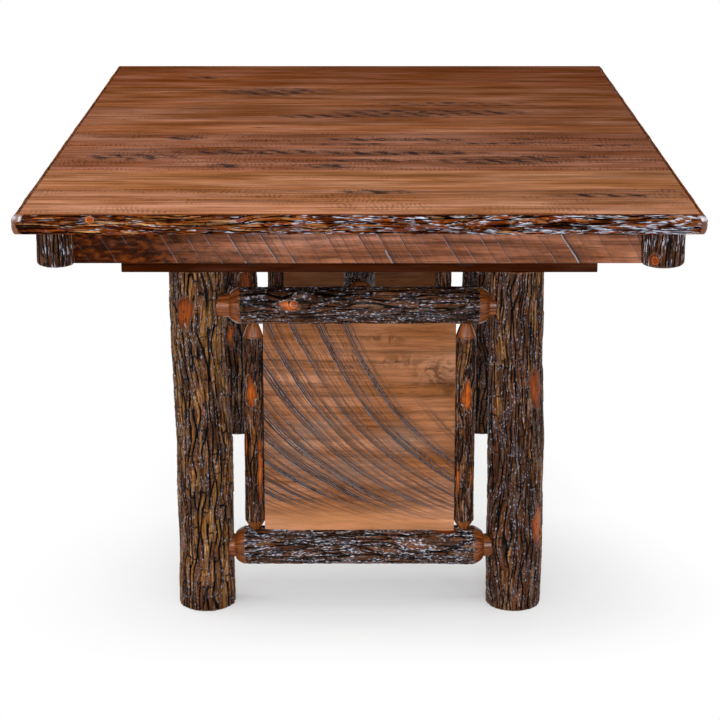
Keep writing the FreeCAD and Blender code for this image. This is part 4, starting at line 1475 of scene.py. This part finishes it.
class HICKORY_OT_trestle_boards(bpy.types.Operator):
    """Makes the cleats and the panels with their curved saw marks"""

    bl_idname = "hickory.trestle_boards"
    bl_label = "Cleats and panels"

    def execute(self, context):
        sawn = settings().sawn
        # Cleats coloured nearly black-brown as painted shade, so that they sink into the shadow under the
        # top
        cleat = sawn_material("Sawn hardwood, cleat", 0, sawn.cleat, 31)
        for number, end_name in enumerate(ENDS):
            sawn_copy(end_name + "_cleat", end_name + "_cleat_sawn", "base", "sawn_wood", cleat, sawn.bevel)
            # Pale board that a big circular saw left with arcs of strokes, their bright lines painted
            # highlights and their dark gouges painted shade
            panel = sawn_material("Circular-sawn hardwood, " + end_name + " panel", 0, sawn.panel,
                                  41 + number, arc_marks, curl=0.0, contrast=1.15)
            sawn_copy(end_name + "_panel", end_name + "_panel_sawn", "base", "sawn_wood", panel, sawn.bevel)
        return {"FINISHED"}


class HICKORY_OT_slides(bpy.types.Operator):
    """Makes the maple slides and gives the alignment keys their wood"""

    bl_idname = "hickory.slides"
    bl_label = "Slides and keys"

    def execute(self, context):
        sawn = settings().sawn
        # Planed and waxed, and coloured dark as painted shade so that the slides sink into the shadow under
        # the top: even and quiet, with little grain
        material = sawn_material("Planed maple, dark as painted shade, waxed", 1, sawn.maple, 51, contrast=0.5)
        for side_name in SIDES:
            node_name = side_name + "_fixed_slide"
            sawn_copy(node_name, node_name + "_maple", "base", "slide_maple", material, sawn.bevel)
            for end_name in ENDS:
                node_name = end_name + "_" + side_name + "_slide"
                sawn_copy(node_name, node_name + "_maple", end_name + "_half", "slide_maple", material,
                          sawn.bevel)
        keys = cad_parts["alignment_keys"]
        keys.data.materials.clear()
        keys.data.materials.append(material)
        return {"FINISHED"}


class HICKORY_OT_screws(bpy.types.Operator):
    """Adds the heads of the screws that hold the slides, under the cleats"""

    bl_idname = "hickory.screws"
    bl_label = "Screws"

    head_radius = 5.5 * MM
    head_height = 3.2 * MM
    # From the middle of a cleat to each of its two screws
    screw_offset = 24 * MM

    def execute(self, context):
        material = self.steel()
        first = self.make_head()
        number = 0
        cleat_low, cleat_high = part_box("near_cleat")
        for end in ENDS.values():
            y = (cleat_low[1] + cleat_high[1]) / 2 * -end
            for side_name in SIDES:
                slide_low, slide_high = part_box(side_name + "_fixed_slide")
                x = (slide_low[0] + slide_high[0]) / 2
                for offset in (-self.screw_offset, self.screw_offset):
                    number += 1
                    self.place_head(first, material, (x, y + offset, cleat_low[2]), "base", number)
        bpy.data.objects.remove(first)
        return {"FINISHED"}

    def make_head(self):
        """One pan head with a square recess, looking down, at the origin."""
        deselect_all()
        bpy.ops.mesh.primitive_cylinder_add(vertices=24, radius=self.head_radius, depth=self.head_height,
                                            location=(0, 0, -self.head_height / 2))
        head = bpy.context.object
        bpy.ops.object.mode_set(mode="EDIT")
        bpy.ops.mesh.select_all(action="DESELECT")
        bpy.ops.object.mode_set(mode="OBJECT")
        for face in head.data.polygons:
            face.select = face.normal.z < -0.9
        bpy.ops.object.mode_set(mode="EDIT")
        bpy.ops.mesh.select_mode(type="FACE")
        bpy.ops.mesh.bevel(offset=1.4 * MM, segments=3)
        bpy.ops.mesh.inset(thickness=1.8 * MM)
        bpy.ops.mesh.extrude_region_move(TRANSFORM_OT_translate={"value": (0, 0, 1.9 * MM)})
        bpy.ops.object.mode_set(mode="OBJECT")
        head.data.transform(head.matrix_world)
        head.matrix_world.identity()
        bpy.ops.object.shade_smooth_by_angle(angle=math.radians(30))
        return head

    def place_head(self, first, material, place, body, number):
        """A copy of the head at one place."""
        head = bpy.data.objects.new("screw_head", first.data.copy())
        bpy.context.collection.objects.link(head)
        for corner in head.data.vertices:
            corner.co = corner.co + Vector(place)
        finish_piece(head, "screw_head_" + str(number), body, "screw_steel", material)

    def steel(self):
        """Zinc-plated steel, whose yellowed plating and fine scratches soften its reflections."""
        material, tree, shader = empty_material("Zinc-plated steel", 0.5)
        add = functools.partial(add_node, tree)
        place = add("TexCoord", out="Object")
        scratch = add("TexNoise", place, Scale=900, Detail=2)
        colour = add("ValToRGB", scratch, stops=((0.35, hex_colour("#8d8c84")),
                                                 (0.7, hex_colour("#c9c6b8"))))
        tree.links.new(colour, shader.inputs["Base Color"])
        rough = add("MapRange", scratch, 0, 1, 0.25, 0.5)
        tree.links.new(rough, shader.inputs["Roughness"])
        shader.inputs["Metallic"].default_value = 1.0
        return material


class HICKORY_PT_panel(bpy.types.Panel):
    """Lists the steps that dress the table"""

    bl_label = "Hickory Table"
    bl_idname = "HICKORY_PT_panel"
    bl_space_type = "VIEW_3D"
    bl_region_type = "UI"
    bl_category = "Hickory Table"

    def draw(self, context):
        for operator in OPERATORS:
            self.layout.operator(operator.bl_idname)


OPERATORS = (
    HICKORY_OT_stage, HICKORY_OT_legs, HICKORY_OT_rails, HICKORY_OT_spindles, HICKORY_OT_stretcher,
    HICKORY_OT_corner_stubs, HICKORY_OT_edging, HICKORY_OT_boards, HICKORY_OT_aprons,
    HICKORY_OT_trestle_boards, HICKORY_OT_slides, HICKORY_OT_screws,
)
CLASSES = (BarkSettings, SawnSettings, StageSettings, TableSettings) + OPERATORS + (HICKORY_PT_panel,)


def register():
    """Registers the classes and adds the settings to the scene."""
    for item in CLASSES:
        bpy.utils.register_class(item)
    bpy.types.Scene.hickory_table = PointerProperty(type=TableSettings)


def unregister():
    """Takes the settings and the classes away again."""
    del bpy.types.Scene.hickory_table
    for item in reversed(CLASSES):
        bpy.utils.unregister_class(item)


def main():
    register()
    for operator in OPERATORS:
        family, step = operator.bl_idname.split(".")
        getattr(getattr(bpy.ops, family), step)()


if __name__ == "__main__":
    main()
